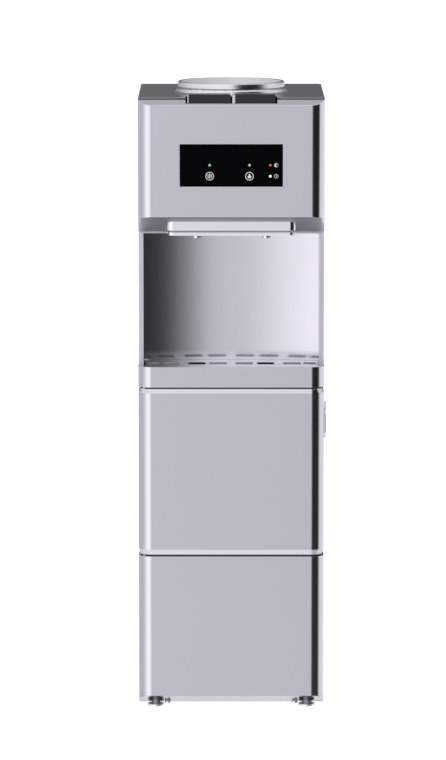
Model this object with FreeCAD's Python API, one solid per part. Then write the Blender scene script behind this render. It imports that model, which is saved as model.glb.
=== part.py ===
"""Free-standing hot and cold water dispenser with a bottle collar on top, two press keys, a tap bay
with a drip tray, a storage cabinet with a swing door, and the cooling set at the foot and the back.

Frame: millimetres, +Z up, +X to the viewer's right, the front faces -Y.  The origin is on the floor
under the middle of the whole.  A "depth" is measured backwards from the flat front face.
"""
import FreeCAD
import Part
import math
import os

from FreeCAD import Vector

# ---------------------------------------------------------------- overall sizes
width = 310.0                # across the moulded fronts
cabinet_depth = 335.0        # flat front face to the outer face of the rear panel
condenser_stand = 22.0       # condenser tube behind the rear panel, centre to face
drier_radius = 8.0           # the fattest thing behind the cabinet
condenser_depth = cabinet_depth + condenser_stand
front_y = -(condenser_depth + drier_radius) / 2
half = width / 2

# heights, stacked from the floor up
base_bottom = 6.0            # underside of the base above the floor
base_height = 17.0
lower_height = 237.3         # lower panel
seam_gap = 1.4               # open seam above and below the door
door_height = 282.6
tray_height = 34.3           # front strip under the tap bay
bay_height = 223.0           # tap bay, at the pillars
brow_rise = 28.0             # sloped brow under the head
face_height = 185.5          # flat front of the head
bevel_rise = 11.5            # top bevel of the head
base_top = base_bottom + base_height
lower_top = base_top + lower_height
door_bottom = lower_top + seam_gap
door_top = door_bottom + door_height
tray_low = door_top + seam_gap
sill_top = tray_low + tray_height
bay_top = sill_top + bay_height
brow_bottom = bay_top + brow_rise
bevel_bottom = brow_bottom + face_height
cover_top = bevel_bottom + bevel_rise

corner_radius = 22.0         # vertical front corners, in plan
wall = 2.5                   # moulded fronts
sheet = 1.2                  # folded steel panels
fit = 0.2                    # between pieces that are fixed to each other
beyond = 5.0                 # a cutter stands out of what it cuts by this much

bevel_depth = 25.0           # the head's top bevel runs back this far
brow_depth = 34.0            # the sloped brow runs back this far, to the pillars
skirt_depth = 38.0           # the sloped foot of the base runs back this far
return_depth = 47.3          # side returns of the lower fronts
door_depth = return_depth - 2.3

# side panels
panel_outer = half - 0.5
panel_inner = panel_outer - sheet
pillar_width = 8.0           # front flange beside the tap bay
pillar_inner = panel_outer - pillar_width
frame_face = return_depth + 0.2   # the face that the door shuts against
side_back = cabinet_depth - 1.0
side_top = bevel_bottom - 2.0
rear_flange = 12.0

# tap bay
bay_middle_depth = 105.0     # shallow curved back of the bay, at the middle
bay_side_depth = 94.0        # and where it meets the bay's side walls
liner_half = pillar_inner - 0.1
liner_wall = 2.5
bay_rise = bay_middle_depth - bay_side_depth
bay_radius = (pillar_inner ** 2 + bay_rise ** 2) / (2 * bay_rise)
bay_centre = bay_middle_depth - bay_radius
tray_gap = 0.8               # between the drip tray and its well
well_half = pillar_inner - 0.5
well_front = 7.0
well_floor = tray_low + 4.0
tray_wall = 1.8
grille_thick = 2.5
slot_length, slot_deep = 27.0, 9.5
slot_places = (21.5, 57.5, 101.5)        # middles of the long slots, each side
end_slot = (well_half - 14.5, 19.0)      # middle and length of the short slot at each end
slot_rows = (46.0, 58.0)

# dispensing head under the brow
module_half = 108.3
module_front = 10.5
module_back = 78.0
module_radius = 11.0
lip_inset = 3.0
lip_bottom = bay_top - 4.5
lip_top = bay_top + 0.9
module_wall = 2.0
tap_x = 58.0
tap_depth = 51.0
tap_height = 43.0            # body of a tap above the bay's ceiling
tap_neck = 6.0
tap_reach = 13.0
nozzle_radius = 7.0
nozzle_bore = 4.5
nozzle_bottom = bay_top - 11.5
hose_radius = 5.0
hose_z = bay_top + 22.0

# keys
key_gap = 2.6                # between the two keys
key_half_span = 73.0         # outer edges of the pair
notch_half = key_half_span + 2.8
notch_front = 6.0
notch_back = 58.0
key_front = notch_front + 1.0
key_back = notch_back - 2.0
key_brow = 22.0              # depth where the key's sloped front reaches its top
key_top = cover_top + 5.0
key_edge_z = cover_top - 7.4
key_skirt = cover_top - 20.0
key_wall = 2.0
key_travel = 5.0
rod_radius = 3.5
rod_clearance = 0.4          # from corner to corner of the flat-sided rods
rod_bottom = bay_top + tap_height - key_travel
rod_top = key_top - 4.0
carrier_low = key_skirt - 9.0
carrier_thick = 3.0

# bottle collar, seat and probe
collar_depth = 165.0         # centre of the bottle, behind the front face
collar_outer = 91.0
collar_rim_outer = collar_outer - 1.6
collar_bore = 83.0
collar_height = 11.0
collar_seat = cover_top + 7.5
collar_top = collar_seat + collar_height
seat_flange = collar_outer - 3.0
seat_flange_thick = 2.5
seat_inner = collar_bore + 1.0   # bore of the cover's ledge
blend_out = 13.0             # the raised rim's cove spreads this far over the cover
cover_skin = 3.0
neck_bore = 29.5
neck_floor = cover_top - 48.0
funnel_low = neck_floor + 21.0
spout_bore = 17.0
spout_bottom = neck_floor - 6.0
probe_radius = 8.0
probe_height = 38.0

# display
display_width = 170.6
display_height = 70.4
display_middle = brow_bottom + 85.8
window_lip = 4.0             # its hidden rim behind the face
board_depth = 12.0
led_spots = ((-36.0, display_middle + 0.8), (30.0, display_middle + 0.8),
             (64.5, display_middle + 0.8), (64.5, display_middle - 17.5))

# storage cabinet
liner_opening = half - 21.0
liner_low = door_bottom + 12.3
liner_high = door_top - 12.3
liner_back = cabinet_depth - 35.0
liner_skin = 2.0
deck_back = cabinet_depth - 17.0
cabinet_floor = door_bottom - 11.7
shelf_z = (liner_low + liner_high) / 2 - 1.0
shelf_thick = 3.0
ledge_thick = 4.0

# hinge of the door
hinge_x = 10.0 - half
hinge_depth = 12.0
hinge_pin = 3.0
hinge_clearance = 0.06
bush_radius = 4.6
bush_length = 12.0
pin_seat = 11.0

# door pull on the right-hand return
pull_depth = 33.0
pull_high = door_top - 27.3
pull_low = pull_high - 60.0
pull_half = 9.0
pull_proud = 3.8

# condenser on the back
tube_radius = 2.4
condenser_passes = 11
condenser_low = door_bottom + 38.3
condenser_pitch = (bay_top - 23.0 - condenser_low) / (condenser_passes - 1)
condenser_half = half - 45.0
tail_right = condenser_half + 34.0
tail_left = -condenser_half - 36.0
wire_radius = 0.8
wire_count = 15
wire_half = condenser_half - 15.5
bracket_spots = tuple((sx * (condenser_half - 7.5), condenser_low + i * condenser_pitch)
                      for sx in (-1, 1) for i in (2, 8))

# tanks
deck_z = bay_top + 32.0
cold_radius = 80.0
cold_low = deck_z + 17.0
cold_high = spout_bottom - 9.0
tank_skin = 1.2
jacket_radius = 112.0
jacket_top = neck_floor - 2.0
sleeve_radius = cold_radius + 4.0
tank_mouth = neck_bore + 3.5
cold_ports = ((-tap_x, collar_depth - 30.0), (-40.0, collar_depth + 50.0))
drain_x = condenser_half + 2.0
drain_z = condenser_low + 6.5 * condenser_pitch
drain_radius = 7.0
cap_radius = 12.0
cap_length = 13.0
hot_x = drain_x - 27.0
hot_depth = min(cabinet_depth - 100.0, collar_depth + 80.0)
hot_radius = 50.0
hot_jacket = 64.0
hot_low = drain_z - 22.0
hot_high = hot_low + 150.0
hot_wool = 15.0              # wool under and over the hot tank
hot_inlet_z = drain_z
inlet_half = 3.0

# switches and lead bushing on the back
switch_z = cover_top - 56.0
switch_spots = ((-40.0, switch_z), (-5.0, switch_z))
switch_size = (21.0, 13.0)
switch_deep = 22.0
rocker_depth = cabinet_depth - 2.5
gland_x = condenser_half - 30.0
gland_z = condenser_low - 40.0
gland_outer = 8.0
gland_bore = 4.0

# compressor
compressor_x = 0.0
compressor_depth = cabinet_depth - 100.0
compressor_radius = 68.0
compressor_height = 143.0
compressor_seam = compressor_height * 0.524
compressor_shoulder = compressor_height - 18.0
foot_plate_half = compressor_radius + 19.0
mount_x = 75.0               # rubber mounts, from the compressor's middle
mount_y = 45.0
mount_low = base_bottom + wall + 2
mount_high = 13.0
compressor_low = mount_low + mount_high
suction_x = compressor_x - 30.0
suction_depth = compressor_depth + 20.0
discharge_x = compressor_x + 40.0
discharge_z = compressor_low + 60.0
suction_top = compressor_low + compressor_height + 25.0
suction_turn = suction_top + 32.0

# feet
foot_x = half - 28.0
foot_front = 34.0
foot_back = cabinet_depth - 35.0
foot_radius = 14.0
foot_height = 4.5
stud_half = 4.0
stud_clearance = 0.05
bumper_x = half - 48.0
bumper_depth = 31.0

bush_spans = ((door_bottom, door_bottom + bush_length), (door_top - bush_length, door_top))
screw_heights = (cabinet_floor + 20.0, door_top - 24.3, bay_top - 43.0, cover_top - 28.0)


# ---------------------------------------------------------------- helpers
def at(x, depth, z):
    """A point from its place across, its depth behind the front face, and its height."""
    return Vector(x, front_y + depth, z)


def block(x0, x1, d0, d1, z0, z1):
    return Part.makeBox(x1 - x0, d1 - d0, z1 - z0, at(x0, d0, z0))


def rod(x, depth, radius, z0, z1):
    return Part.makeCylinder(radius, z1 - z0, at(x, depth, z0))


def rod_back(x, z, radius, d0, d1):
    """A round bar that runs straight back."""
    return Part.makeCylinder(radius, d1 - d0, at(x, d0, z), Vector(0, 1, 0))


def rod_across(depth, z, radius, x0, x1):
    return Part.makeCylinder(radius, x1 - x0, at(x0, depth, z), Vector(1, 0, 0))


def polygon(points):
    return Part.Face(Part.makePolygon(points + points[:1]))


def profile(points, x0, x1):
    """A side profile of (depth, z) points, carried across from x0 to x1."""
    return polygon([at(x0, d, z) for d, z in points]).extrude(Vector(x1 - x0, 0, 0))


def plan(half_width, d_front, d_back, radius, z0, z1, back_radius=0.0):
    """A block whose front corners are rounded in plan, and its back ones too if asked."""
    solid = block(-half_width, half_width, d_front, d_back, z0, z1)
    for x_side in (-1, 1):
        solid = round_upright(solid, x_side * half_width, d_front, radius)
        if back_radius:
            solid = round_upright(solid, x_side * half_width, d_back, back_radius)
    return solid


def round_upright(solid, x, depth, radius):
    """Rounds the upright edge that stands at this place."""
    def stands_there(edge):
        spots = [v.Point for v in edge.Vertexes]
        return (len(spots) == 2 and abs(spots[0].z - spots[1].z) > 0.01
                and all(abs(p.x - x) < 1e-4 and abs(p.y - front_y - depth) < 1e-4 for p in spots))
    edges = [e for e in solid.Edges if stands_there(e)]
    return solid.makeFillet(radius, edges) if edges else solid


def bevel_level(solid, size, z, keep=lambda edge: True):
    """Bevels the edges that lie flat at height z."""
    edges = [e for e in solid.Edges
             if abs(e.BoundBox.ZMin - z) < 1e-4 and abs(e.BoundBox.ZMax - z) < 1e-4 and keep(e)]
    return solid.makeChamfer(size, edges)


def faceted(points, x, depth, sides=24):
    """A turned solid with flat sides, from (radius, z) points that may start and end on the axis."""
    east, north = Vector(1, 0, 0), Vector(0, 1, 0)
    loops = [corners(at(x, depth, z), radius, sides, east, north) for radius, z in points]
    faces = []
    closed = points[0][0] > 0
    pairs = list(zip(loops, loops[1:] + loops[:1])) if closed else list(zip(loops[1:-1], loops[2:-1]))
    for low, high in pairs:
        for i in range(sides):
            j = (i + 1) % sides
            faces.append(polygon([low[i], low[j], high[j], high[i]]))
    if not closed:
        faces += [polygon(loops[1]), polygon(loops[-2])]
    shell = Part.makeShell(faces)
    shell.sewShape()
    solid = Part.makeSolid(shell)
    return solid if solid.Volume > 0 else solid.reversed()


def fused(first, *rest):
    return first.multiFuse(list(rest)).removeSplitter() if rest else first


def both_sides(solid):
    """The solid and its mirror image across the middle."""
    return Part.makeCompound([solid, solid.mirror(Vector(0, 0, 0), Vector(1, 0, 0))])


def prism(x, depth, radius, z0, z1, sides=12):
    """An upright bar with flat sides, for plain hidden pieces and for hexagon heads."""
    return polygon(corners(at(x, depth, z0), radius, sides, Vector(1, 0, 0), Vector(0, 1, 0))).extrude(
        Vector(0, 0, z1 - z0))


def prism_back(x, z, radius, d0, d1, sides=12):
    """A bar with flat sides that runs straight back."""
    return polygon(corners(at(x, d0, z), radius, sides, Vector(0, 0, 1), Vector(1, 0, 0))).extrude(
        Vector(0, d1 - d0, 0))


def corners(centre, radius, sides, across, up):
    """The corners of a regular polygon whose first side faces along across."""
    turns = [2 * math.pi * (i + 0.5) / sides for i in range(sides)]
    return [centre + across * (radius * math.cos(t)) + up * (radius * math.sin(t)) for t in turns]


def bent_path(points, bend, chords):
    """The points of a path whose corners are eased into a few chords of one bend radius."""
    path = [points[0]]
    for before, corner, after in zip(points, points[1:], points[2:]):
        incoming = (corner - before).normalize()
        outgoing = (after - corner).normalize()
        turn = incoming.getAngle(outgoing)
        centre = corner + (outgoing - incoming).normalize() * (bend / math.cos(turn / 2))
        side = (outgoing - incoming * incoming.dot(outgoing)).normalize()
        for i in range(chords + 1):
            swing = turn * i / chords
            spot = centre + incoming * (bend * math.sin(swing)) - side * (bend * math.cos(swing))
            if (spot - path[-1]).Length > 0.001:
                path.append(spot)
    return path + [points[-1]]


def pipe(points, radius, bend, sides=6, chords=2):
    """A plain pipe with a flat-sided section along a bent path."""
    path = bent_path(points, bend, chords)
    wire = Part.makePolygon(path)
    heading = (path[1] - path[0]).normalize()
    across = heading.cross(Vector(0, 0, 1))
    if across.Length < 0.1:
        across = heading.cross(Vector(0, 1, 0))
    across.normalize()
    section = corners(path[0], radius, sides, across, heading.cross(across))
    return wire.makePipeShell([Part.makePolygon(section + section[:1])], True, False, 1)


def slope_z(depth, start_z, end_z, run):
    """Height of a sloped face at a depth, falling from start_z to end_z over run."""
    return start_z + (end_z - start_z) * depth / run


def brow_z(depth):
    return slope_z(depth, brow_bottom, bay_top, brow_depth)


def bevel_z(depth):
    return slope_z(depth, bevel_bottom, cover_top, bevel_depth)


def skirt_z(depth):
    return slope_z(depth, base_top, base_bottom, skirt_depth)


def upright_share(rise, run):
    """How much further a sloped wall measures upright than square to itself."""
    return math.hypot(rise, run) / run


def bay_disc(radius, z0, z1):
    return rod(0, bay_centre, radius, z0, z1)


def tray_plan(shrink, z0, z1):
    """The outline of the tray's well: straight front with round corners, curved back."""
    outline = plan(well_half - shrink, well_front + shrink, bay_middle_depth + 10,
                   corner_radius - shrink, z0, z1)
    return outline.common(bay_disc(bay_radius - 0.2 - shrink, z0, z1))


# ---------------------------------------------------------------- base, feet and lower panel
def base_pan():
    """Moulded base: rounded in front, sloping back under, open on top."""
    body = plan(half, 0, side_back, corner_radius, base_bottom, base_top)
    slope = profile([(0, base_top), (skirt_depth, base_bottom), (side_back, base_bottom),
                     (side_back, base_top)], -half, half)
    outer = body.common(slope)
    lift = wall * upright_share(base_top - base_bottom, skirt_depth)
    inner = plan(half - wall, wall, side_back - wall, corner_radius - wall, base_bottom, base_top)
    inner = inner.common(profile([(wall, skirt_z(wall) + lift),
                                  (skirt_depth * (base_top - base_bottom + lift - wall)
                                   / (base_top - base_bottom), base_bottom + wall),
                                  (side_back, base_bottom + wall), (side_back, base_top),
                                  (wall, base_top)], -half, half))
    pan = outer.cut(inner)
    bosses = [post(sx * foot_x, d, stud_half + 4, base_bottom, base_top - 2).common(outer)
              for sx in (-1, 1) for d in (foot_front, foot_back)]
    pads = [post(compressor_x + sx * mount_x, compressor_depth + sd * mount_y, 12, base_bottom, mount_low)
            for sx in (-1, 1) for sd in (-1, 1)]
    pan = fused(pan, *bosses, *pads)
    for sx in (-1, 1):
        for d in (foot_front, foot_back):
            pan = pan.cut(post(sx * foot_x, d, stud_half + stud_clearance, 0, base_top))
    for i in range(5):
        x = (i - 2) * 30
        pan = pan.cut(block(x - 4, x + 4, 60, 130, 0, base_top))
    return pan


def post(x, depth, reach, z0, z1):
    """A square upright bar."""
    return block(x - reach, x + reach, depth - reach, depth + reach, z0, z1)


def foot(sx, depth):
    """Round pad with a square stud that is pressed into the base's boss."""
    pad = rod(sx * foot_x, depth, foot_radius, 0, foot_height)
    neck = post(sx * foot_x, depth, stud_half + 2, foot_height - 1, base_bottom)
    return fused(pad, neck, post(sx * foot_x, depth, stud_half, foot_height - 1, base_top - 4))


def feet():
    return Part.makeCompound([foot(sx, d) for sx in (-1, 1) for d in (foot_front, foot_back)])


def skirt_bumpers():
    """Two twelve-sided plugs pressed on the sloped skirt beside the front feet."""
    tilt = math.atan2(base_top - base_bottom, skirt_depth)
    normal = Vector(0, -math.sin(tilt), -math.cos(tilt))
    spot = at(bumper_x, bumper_depth, skirt_z(bumper_depth))
    rim = corners(spot, 5.2, 12, Vector(1, 0, 0), normal.cross(Vector(1, 0, 0)))
    return both_sides(polygon(rim).extrude(normal * 2.4))


def lower_panel():
    """Moulded front of the compressor bay, with stiffening edges and the hinge's seat."""
    top = lower_top
    outer = plan(half, 0, return_depth, corner_radius, base_top, top)
    inner = plan(half - wall, wall, return_depth + beyond, corner_radius - wall, base_top + wall, top - wall)
    window = block(14 - half, half - 14, 22, return_depth + beyond, base_top - 1, top + 1)
    panel = outer.cut(inner).cut(window)
    boss = block(hinge_x - 10, hinge_x + 7, hinge_depth - 12, hinge_depth + 7, top - 14, top).common(outer)
    return fused(panel, boss).cut(rod(hinge_x, hinge_depth, hinge_pin, top - pin_seat, top + 1))


# ---------------------------------------------------------------- side, rear and deck panels
def side_panel():
    """Folded right-hand side sheet: pillar beside the tap bay, door frame flange, rear flange."""
    web = profile([(frame_face, base_top), (side_back, base_top), (side_back, side_top),
                   (brow_depth, side_top), (brow_depth, sill_top), (frame_face, sill_top)],
                  panel_inner, panel_outer)
    pillar = block(pillar_inner, panel_inner, brow_depth, brow_depth + sheet, sill_top, side_top)
    frame = block(panel_inner - pillar_width, panel_inner, frame_face, frame_face + sheet,
                  base_top, door_top + 0.5)
    rear = block(panel_inner - rear_flange, panel_inner, side_back - sheet, side_back, base_top, side_top)
    return fused(web, pillar, frame, rear)


def rear_panel():
    """Flat rear sheet with louvre slots, over the side panels' flanges."""
    low, high = cabinet_floor - 2, side_top
    panel = block(-panel_outer, panel_outer, side_back, cabinet_depth, low, high)
    slot_count, slot_step = 7, 12.0
    for column in (-70.0, 70.0):
        for i in range(slot_count):
            z = deck_z + 3 + i * slot_step
            panel = panel.cut(block(column - 34, column + 34, side_back - 1, cabinet_depth + 1, z, z + 4))
    for spot in switch_spots:
        panel = panel.cut(switch_body(spot, 0.15))
    panel = panel.cut(prism_back(drain_x, drain_z, drain_radius + 1, side_back - 1, cabinet_depth + 1))
    return panel.cut(prism_back(gland_x, gland_z, gland_outer + 0.1, side_back - 1, cabinet_depth + 1))


def deck(z, d0, d1, flange):
    """A level sheet between the side panels, with a flange down or up each side."""
    reach = panel_inner - fit
    plate = block(-reach, reach, d0, d1, z, z + sheet)
    low, high = (z + sheet, z + sheet + flange) if flange > 0 else (z + flange, z)
    ears = [block(-reach, -reach + sheet, d0, d1, low, high), block(reach - sheet, reach, d0, d1, low, high)]
    return fused(plate, *ears)


def cabinet_deck():
    return deck(cabinet_floor - sheet, frame_face + 1.5, deck_back, -15)


def hot_deck():
    """Deck over the storage box, with the welded stand that lifts the hot tank off it."""
    low = door_top + 0.7
    seat = hot_low - hot_wool
    floor = deck(low, bay_middle_depth + 13.2, deck_back, 15)
    plate = post(hot_x, hot_depth, hot_jacket, seat - 2, seat)
    legs = [block(x - 6, x + 6, hot_depth - 30, hot_depth + 30, low, seat - 1)
            for x in (hot_x - 45, hot_x + 45)]
    return fused(floor, plate, *legs)


def cold_deck():
    plate = deck(deck_z, tap_depth + tap_reach + 4, deck_back, -15)
    for x, d in cold_ports:
        plate = plate.cut(post(x, d, hose_radius + 1, deck_z - beyond, deck_z + beyond))
    return plate


# ---------------------------------------------------------------- storage cabinet
def cabinet_liner():
    """Plastic box open to the front, with the flange that the door seal meets."""
    outer = block(-liner_opening - liner_skin, liner_opening + liner_skin, frame_face,
                  liner_back + liner_skin, liner_low - liner_skin, liner_high + liner_skin)
    flange_half = panel_inner - pillar_width - 0.3
    flange = block(-flange_half, flange_half, frame_face, frame_face + 2, door_bottom + 0.5, door_top - 0.5)
    cavity = block(-liner_opening, liner_opening, frame_face - 1, liner_back, liner_low, liner_high)
    under = liner_opening - 34
    runners = [block(x - 6, x + 6, 70, liner_back - 10, cabinet_floor, liner_low - liner_skin)
               for x in (-under, under)]
    ledges = [block(x - 6, x + 6, 70, liner_back - 20, shelf_z - ledge_thick, shelf_z).common(outer)
              for x in (-liner_opening, liner_opening)]
    return fused(fused(outer, flange, *runners).cut(cavity), *ledges)


def cabinet_shelf():
    """Slotted shelf that lies on the liner's ledges."""
    reach = liner_opening - 1
    top = shelf_z + shelf_thick
    shelf = block(-reach, reach, 74, liner_back - 22, shelf_z, top)
    rim = block(-reach, reach, 74, 77, top, top + 6)
    shelf = fused(shelf, rim)
    for i in range(9):
        x = (i - 4) * reach * 0.195
        shelf = shelf.cut(block(x - 8, x + 8, 92, liner_back - 38, shelf_z - beyond, top + beyond))
    return shelf


# ---------------------------------------------------------------- door
def door_outer():
    """Door skin with rounded top and bottom edges, hinge bosses and the pull's cut-out."""
    outer = plan(half, 0, door_depth, corner_radius, door_bottom, door_top)
    faces_front = lambda edge: edge.BoundBox.YMin < front_y + door_depth - 1
    for z in (door_bottom, door_top):
        outer = bevel_level(outer, 3.5, z, faces_front)
    inner = plan(half - wall, wall, door_depth + 5, corner_radius - wall, door_bottom + wall, door_top - wall)
    for z in (door_bottom + wall, door_top - wall):
        inner = bevel_level(inner, 2.0, z, faces_front)
    skin = outer.cut(inner)
    bosses = [block(hinge_x - 12, hinge_x + 7.5, 0, hinge_depth + 7.5, z0, z1).common(outer)
              for z0, z1 in ((door_bottom, door_bottom + 18), (door_top - 18, door_top))]
    skin = fused(skin, *bosses)
    for z0, z1 in bush_spans:
        skin = skin.cut(prism(hinge_x, hinge_depth, bush_radius, z0, z1, 8))
    return skin.cut(block(half - 20, half + 5, pull_depth - 7, pull_depth + 7, pull_low + 7, pull_high - 17))


def door_inner():
    """Inner door panel with the raised plateau that stands in the cabinet's mouth."""
    reach = half - wall - fit
    plate = block(-reach, reach, door_depth - wall, door_depth, door_bottom + wall + fit,
                  door_top - wall - fit)
    plate = plate.makeChamfer(2.4, [e for e in plate.Edges if e.BoundBox.YLength > 1])
    plateau = block(-liner_opening + 5, liner_opening - 5, door_depth, door_depth + 9,
                    liner_low + 5, liner_high - 5)
    plateau = plateau.makeChamfer(4, [e for e in plateau.Edges
                                      if abs(e.BoundBox.YMin - front_y - door_depth - 9) < 1e-4
                                      and abs(e.BoundBox.YMax - front_y - door_depth - 9) < 1e-4])
    hollow = block(-liner_opening + 10, liner_opening - 10, door_depth - wall - 1, door_depth + 6.5,
                   liner_low + 10, liner_high - 10)
    return fused(plate, plateau).cut(hollow)


def door_gasket():
    """Square ring of soft seal between the door and the cabinet's flange."""
    reach, inner_reach = liner_opening + 9.5, liner_opening + 2.5
    outer = block(-reach, reach, door_depth, frame_face - 0.3, liner_low - 9, liner_high + 9)
    inner = block(-inner_reach, inner_reach, door_depth - 1, frame_face, liner_low - 2, liner_high + 2)
    return outer.cut(inner)


def door_hinge_bushes():
    """Flat-sided bushes let into the door, with round bores for the pins."""
    bushes = []
    for z0, z1 in bush_spans:
        bore = rod(hinge_x, hinge_depth, hinge_pin + hinge_clearance, z0, z1)
        bushes.append(prism(hinge_x, hinge_depth, bush_radius, z0, z1, 8).cut(bore))
    return Part.makeCompound(bushes)


def door_hinge_pins():
    """The lower pin stands in the lower panel's boss, the upper one hangs from the tray's frame."""
    low = rod(hinge_x, hinge_depth, hinge_pin, lower_top - pin_seat, door_bottom + bush_length - 1.5)
    high = rod(hinge_x, hinge_depth, hinge_pin, door_top - bush_length + 1.5, tray_low + pin_seat)
    return Part.makeCompound([low, high])


def door_pull():
    """Side pull: a rounded plate with a finger pocket, a raised grip and a round end."""
    def capsule(x0, x1, spread, low, high):
        middle = block(x0, x1, pull_depth - spread, pull_depth + spread, low + spread, high - spread)
        return fused(middle, rod_across(pull_depth, low + spread, spread, x0, x1),
                     rod_across(pull_depth, high - spread, spread, x0, x1))
    plate = capsule(half, half + pull_proud - 1.0, pull_half, pull_low, pull_high)
    grip = block(half, half + pull_proud, pull_depth - 7, pull_depth - 4, pull_low + 10, pull_low + 41)
    knob = rod_across(pull_depth, pull_high - 7, 6, half, half + pull_proud)
    cup = block(half - 11, half, pull_depth - 6.8, pull_depth + 6.8, pull_low + 7.2, pull_high - 17.2)
    pocket = block(half - 9.5, half + 10, pull_depth - 4, pull_depth + 5.3, pull_low + 9, pull_high - 19)
    return fused(plate, grip, knob, cup).cut(pocket)


# ---------------------------------------------------------------- tap bay
def tray_fascia():
    """Front strip under the tap bay with the well that holds the drip tray."""
    low = tray_low
    well_back = bay_middle_depth + 12
    reach = panel_inner - fit
    outer = fused(plan(half, 0, return_depth, corner_radius, low, sill_top),
                  block(-reach, reach, return_depth - 1, well_back, low, sill_top))
    inner = fused(plan(half - wall, wall, return_depth, corner_radius - wall, low - 1, sill_top - wall),
                  block(-reach + wall, reach - wall, return_depth - 2, well_back - wall,
                        low - 1, sill_top - wall))
    shell = outer.cut(inner)
    well = tray_plan(-2, well_floor - 2, sill_top).common(outer)
    boss = block(hinge_x - 10, hinge_x + 7, hinge_depth - 12, hinge_depth + 7, low, low + 12).common(outer)
    moulding = fused(shell, well, boss).cut(tray_plan(0, well_floor, sill_top + 1))
    return moulding.cut(rod(hinge_x, hinge_depth, hinge_pin, low - 1, low + pin_seat))


def drip_tray():
    """Lift-out bowl with a curved back that follows the bay."""
    bottom = well_floor + 0.3
    bowl = tray_plan(tray_gap, bottom, sill_top - grille_thick)
    return bowl.cut(tray_plan(tray_gap + tray_wall, bottom + tray_wall, sill_top))


def drip_grille():
    """Slotted plate that lies on the tray's rim, with a locating rib inside the rim."""
    low = sill_top - grille_thick
    plate = tray_plan(tray_gap, low, sill_top)
    rim = well_front + tray_gap + tray_wall
    tabs = [block(sx * 75 - 12, sx * 75 + 12, rim + 0.5, rim + 2.5, low - 3, low) for sx in (-1, 1)]
    grille = fused(plate, *tabs)
    for row in slot_rows:
        for x, length in [(place, slot_length) for place in slot_places] + [end_slot]:
            for sx in (-1, 1):
                grille = grille.cut(slot(sx * x, row, length, slot_deep))
    return grille


def slot(x, depth, length, deep):
    """A round-cornered slot, ready to cut."""
    cutter = block(x - length / 2, x + length / 2, depth - deep / 2, depth + deep / 2,
                   sill_top - 10, sill_top + 1)
    return cutter.makeChamfer(2.5, [e for e in cutter.Edges if e.BoundBox.ZLength > 1])


def niche_liner():
    """Tap bay: side walls behind the pillars, shallow curved back, flat top with the nozzles' holes."""
    front = brow_depth + sheet + 0.1

    def room(grow, z0, z1):
        """The bay's space, grown all round, between two heights."""
        window = block(-pillar_inner - grow, pillar_inner + grow, front, bay_middle_depth + 20, z0, z1)
        return bay_disc(bay_radius + grow, z0, z1).common(window)
    top_lip = block(-liner_half, liner_half, brow_depth + 0.1, front + 1, bay_top - liner_wall, bay_top)
    wall_solid = fused(room(liner_wall, sill_top, bay_top), top_lip).cut(
        room(0, sill_top - 1, bay_top - liner_wall))
    for sx in (-1, 1):
        wall_solid = wall_solid.cut(rod(sx * tap_x, tap_depth, nozzle_radius + 0.3, lip_bottom, bay_top + 1))
    return wall_solid


def head_fascia():
    """Head moulding: flat face, round corners, top bevel, sloped brow, open at the back."""
    seam = bevel_depth - 0.2
    outer = plan(half, 0, brow_depth, corner_radius, bay_top, cover_top)
    outer = outer.common(profile([(0, brow_bottom), (brow_depth, bay_top), (brow_depth, side_top),
                                  (seam, side_top), (seam, bevel_z(seam)), (0, bevel_bottom)],
                                 -half, half))
    brow_lift = wall * upright_share(brow_bottom - bay_top, brow_depth)
    bevel_drop = wall * upright_share(cover_top - bevel_bottom, bevel_depth)
    inner = plan(half - wall, wall, brow_depth + 1, corner_radius - wall, bay_top - 1, cover_top + 10)
    inner = inner.common(profile([(wall, brow_z(wall) + brow_lift), (brow_depth, bay_top + brow_lift),
                                  (brow_depth + 1, bay_top + brow_lift), (brow_depth + 1, cover_top + 9),
                                  (seam, cover_top + 9), (seam, bevel_z(seam) - bevel_drop),
                                  (wall, bevel_z(wall) - bevel_drop)], -half, half))
    shell = outer.cut(inner)
    ribs = [block(x - 1, x + 1, wall - 0.5, 20, brow_bottom + 9, brow_bottom + 37)
            for x in (35 - half, -60, 60, half - 35)]
    shell = fused(shell, *ribs)
    shell = shell.cut(block(-notch_half, notch_half, notch_front, brow_depth + 1, key_skirt - 8,
                            cover_top + beyond))
    low = display_middle - display_height / 2 - 0.1
    high = display_middle + display_height / 2 + 0.1
    across = display_width / 2 + 0.1
    return shell.cut(block(-across, across, -1, wall + 1, low, high))


def nozzle_module():
    """Dispensing head cover under the brow, with a stepped lower lip."""
    upper = plan(module_half, module_front, brow_depth - 0.2, module_radius, lip_top, brow_bottom)
    lower = plan(module_half - lip_inset, module_front + lip_inset, module_back,
                 module_radius - lip_inset, lip_bottom, lip_top)
    under = nozzle_bottom - beyond
    under_brow = profile([(0, under), (module_back, under), (module_back, bay_top - liner_wall - 0.1),
                          (brow_depth - 0.2, bay_top - liner_wall - 0.1),
                          (brow_depth - 0.2, brow_z(brow_depth - 0.2) - 0.1), (0, brow_z(0) - 0.1)],
                         -half, half)
    body = fused(upper, lower).common(under_brow).common(bay_disc(bay_radius - 0.3, under, brow_bottom))
    low_room = plan(module_half - lip_inset - module_wall, module_front + lip_inset + module_wall,
                    brow_depth - 2, module_radius - lip_inset - module_wall, lip_bottom + module_wall,
                    lip_top + module_wall)
    high_room = plan(module_half - module_wall, module_front + module_wall, brow_depth - 2,
                     module_radius - module_wall, lip_top + module_wall, brow_bottom)
    body = body.cut(low_room).cut(high_room)
    for sx in (-1, 1):
        body = body.cut(rod(sx * tap_x, tap_depth, nozzle_radius + 0.3, under, brow_bottom))
    return body


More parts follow.
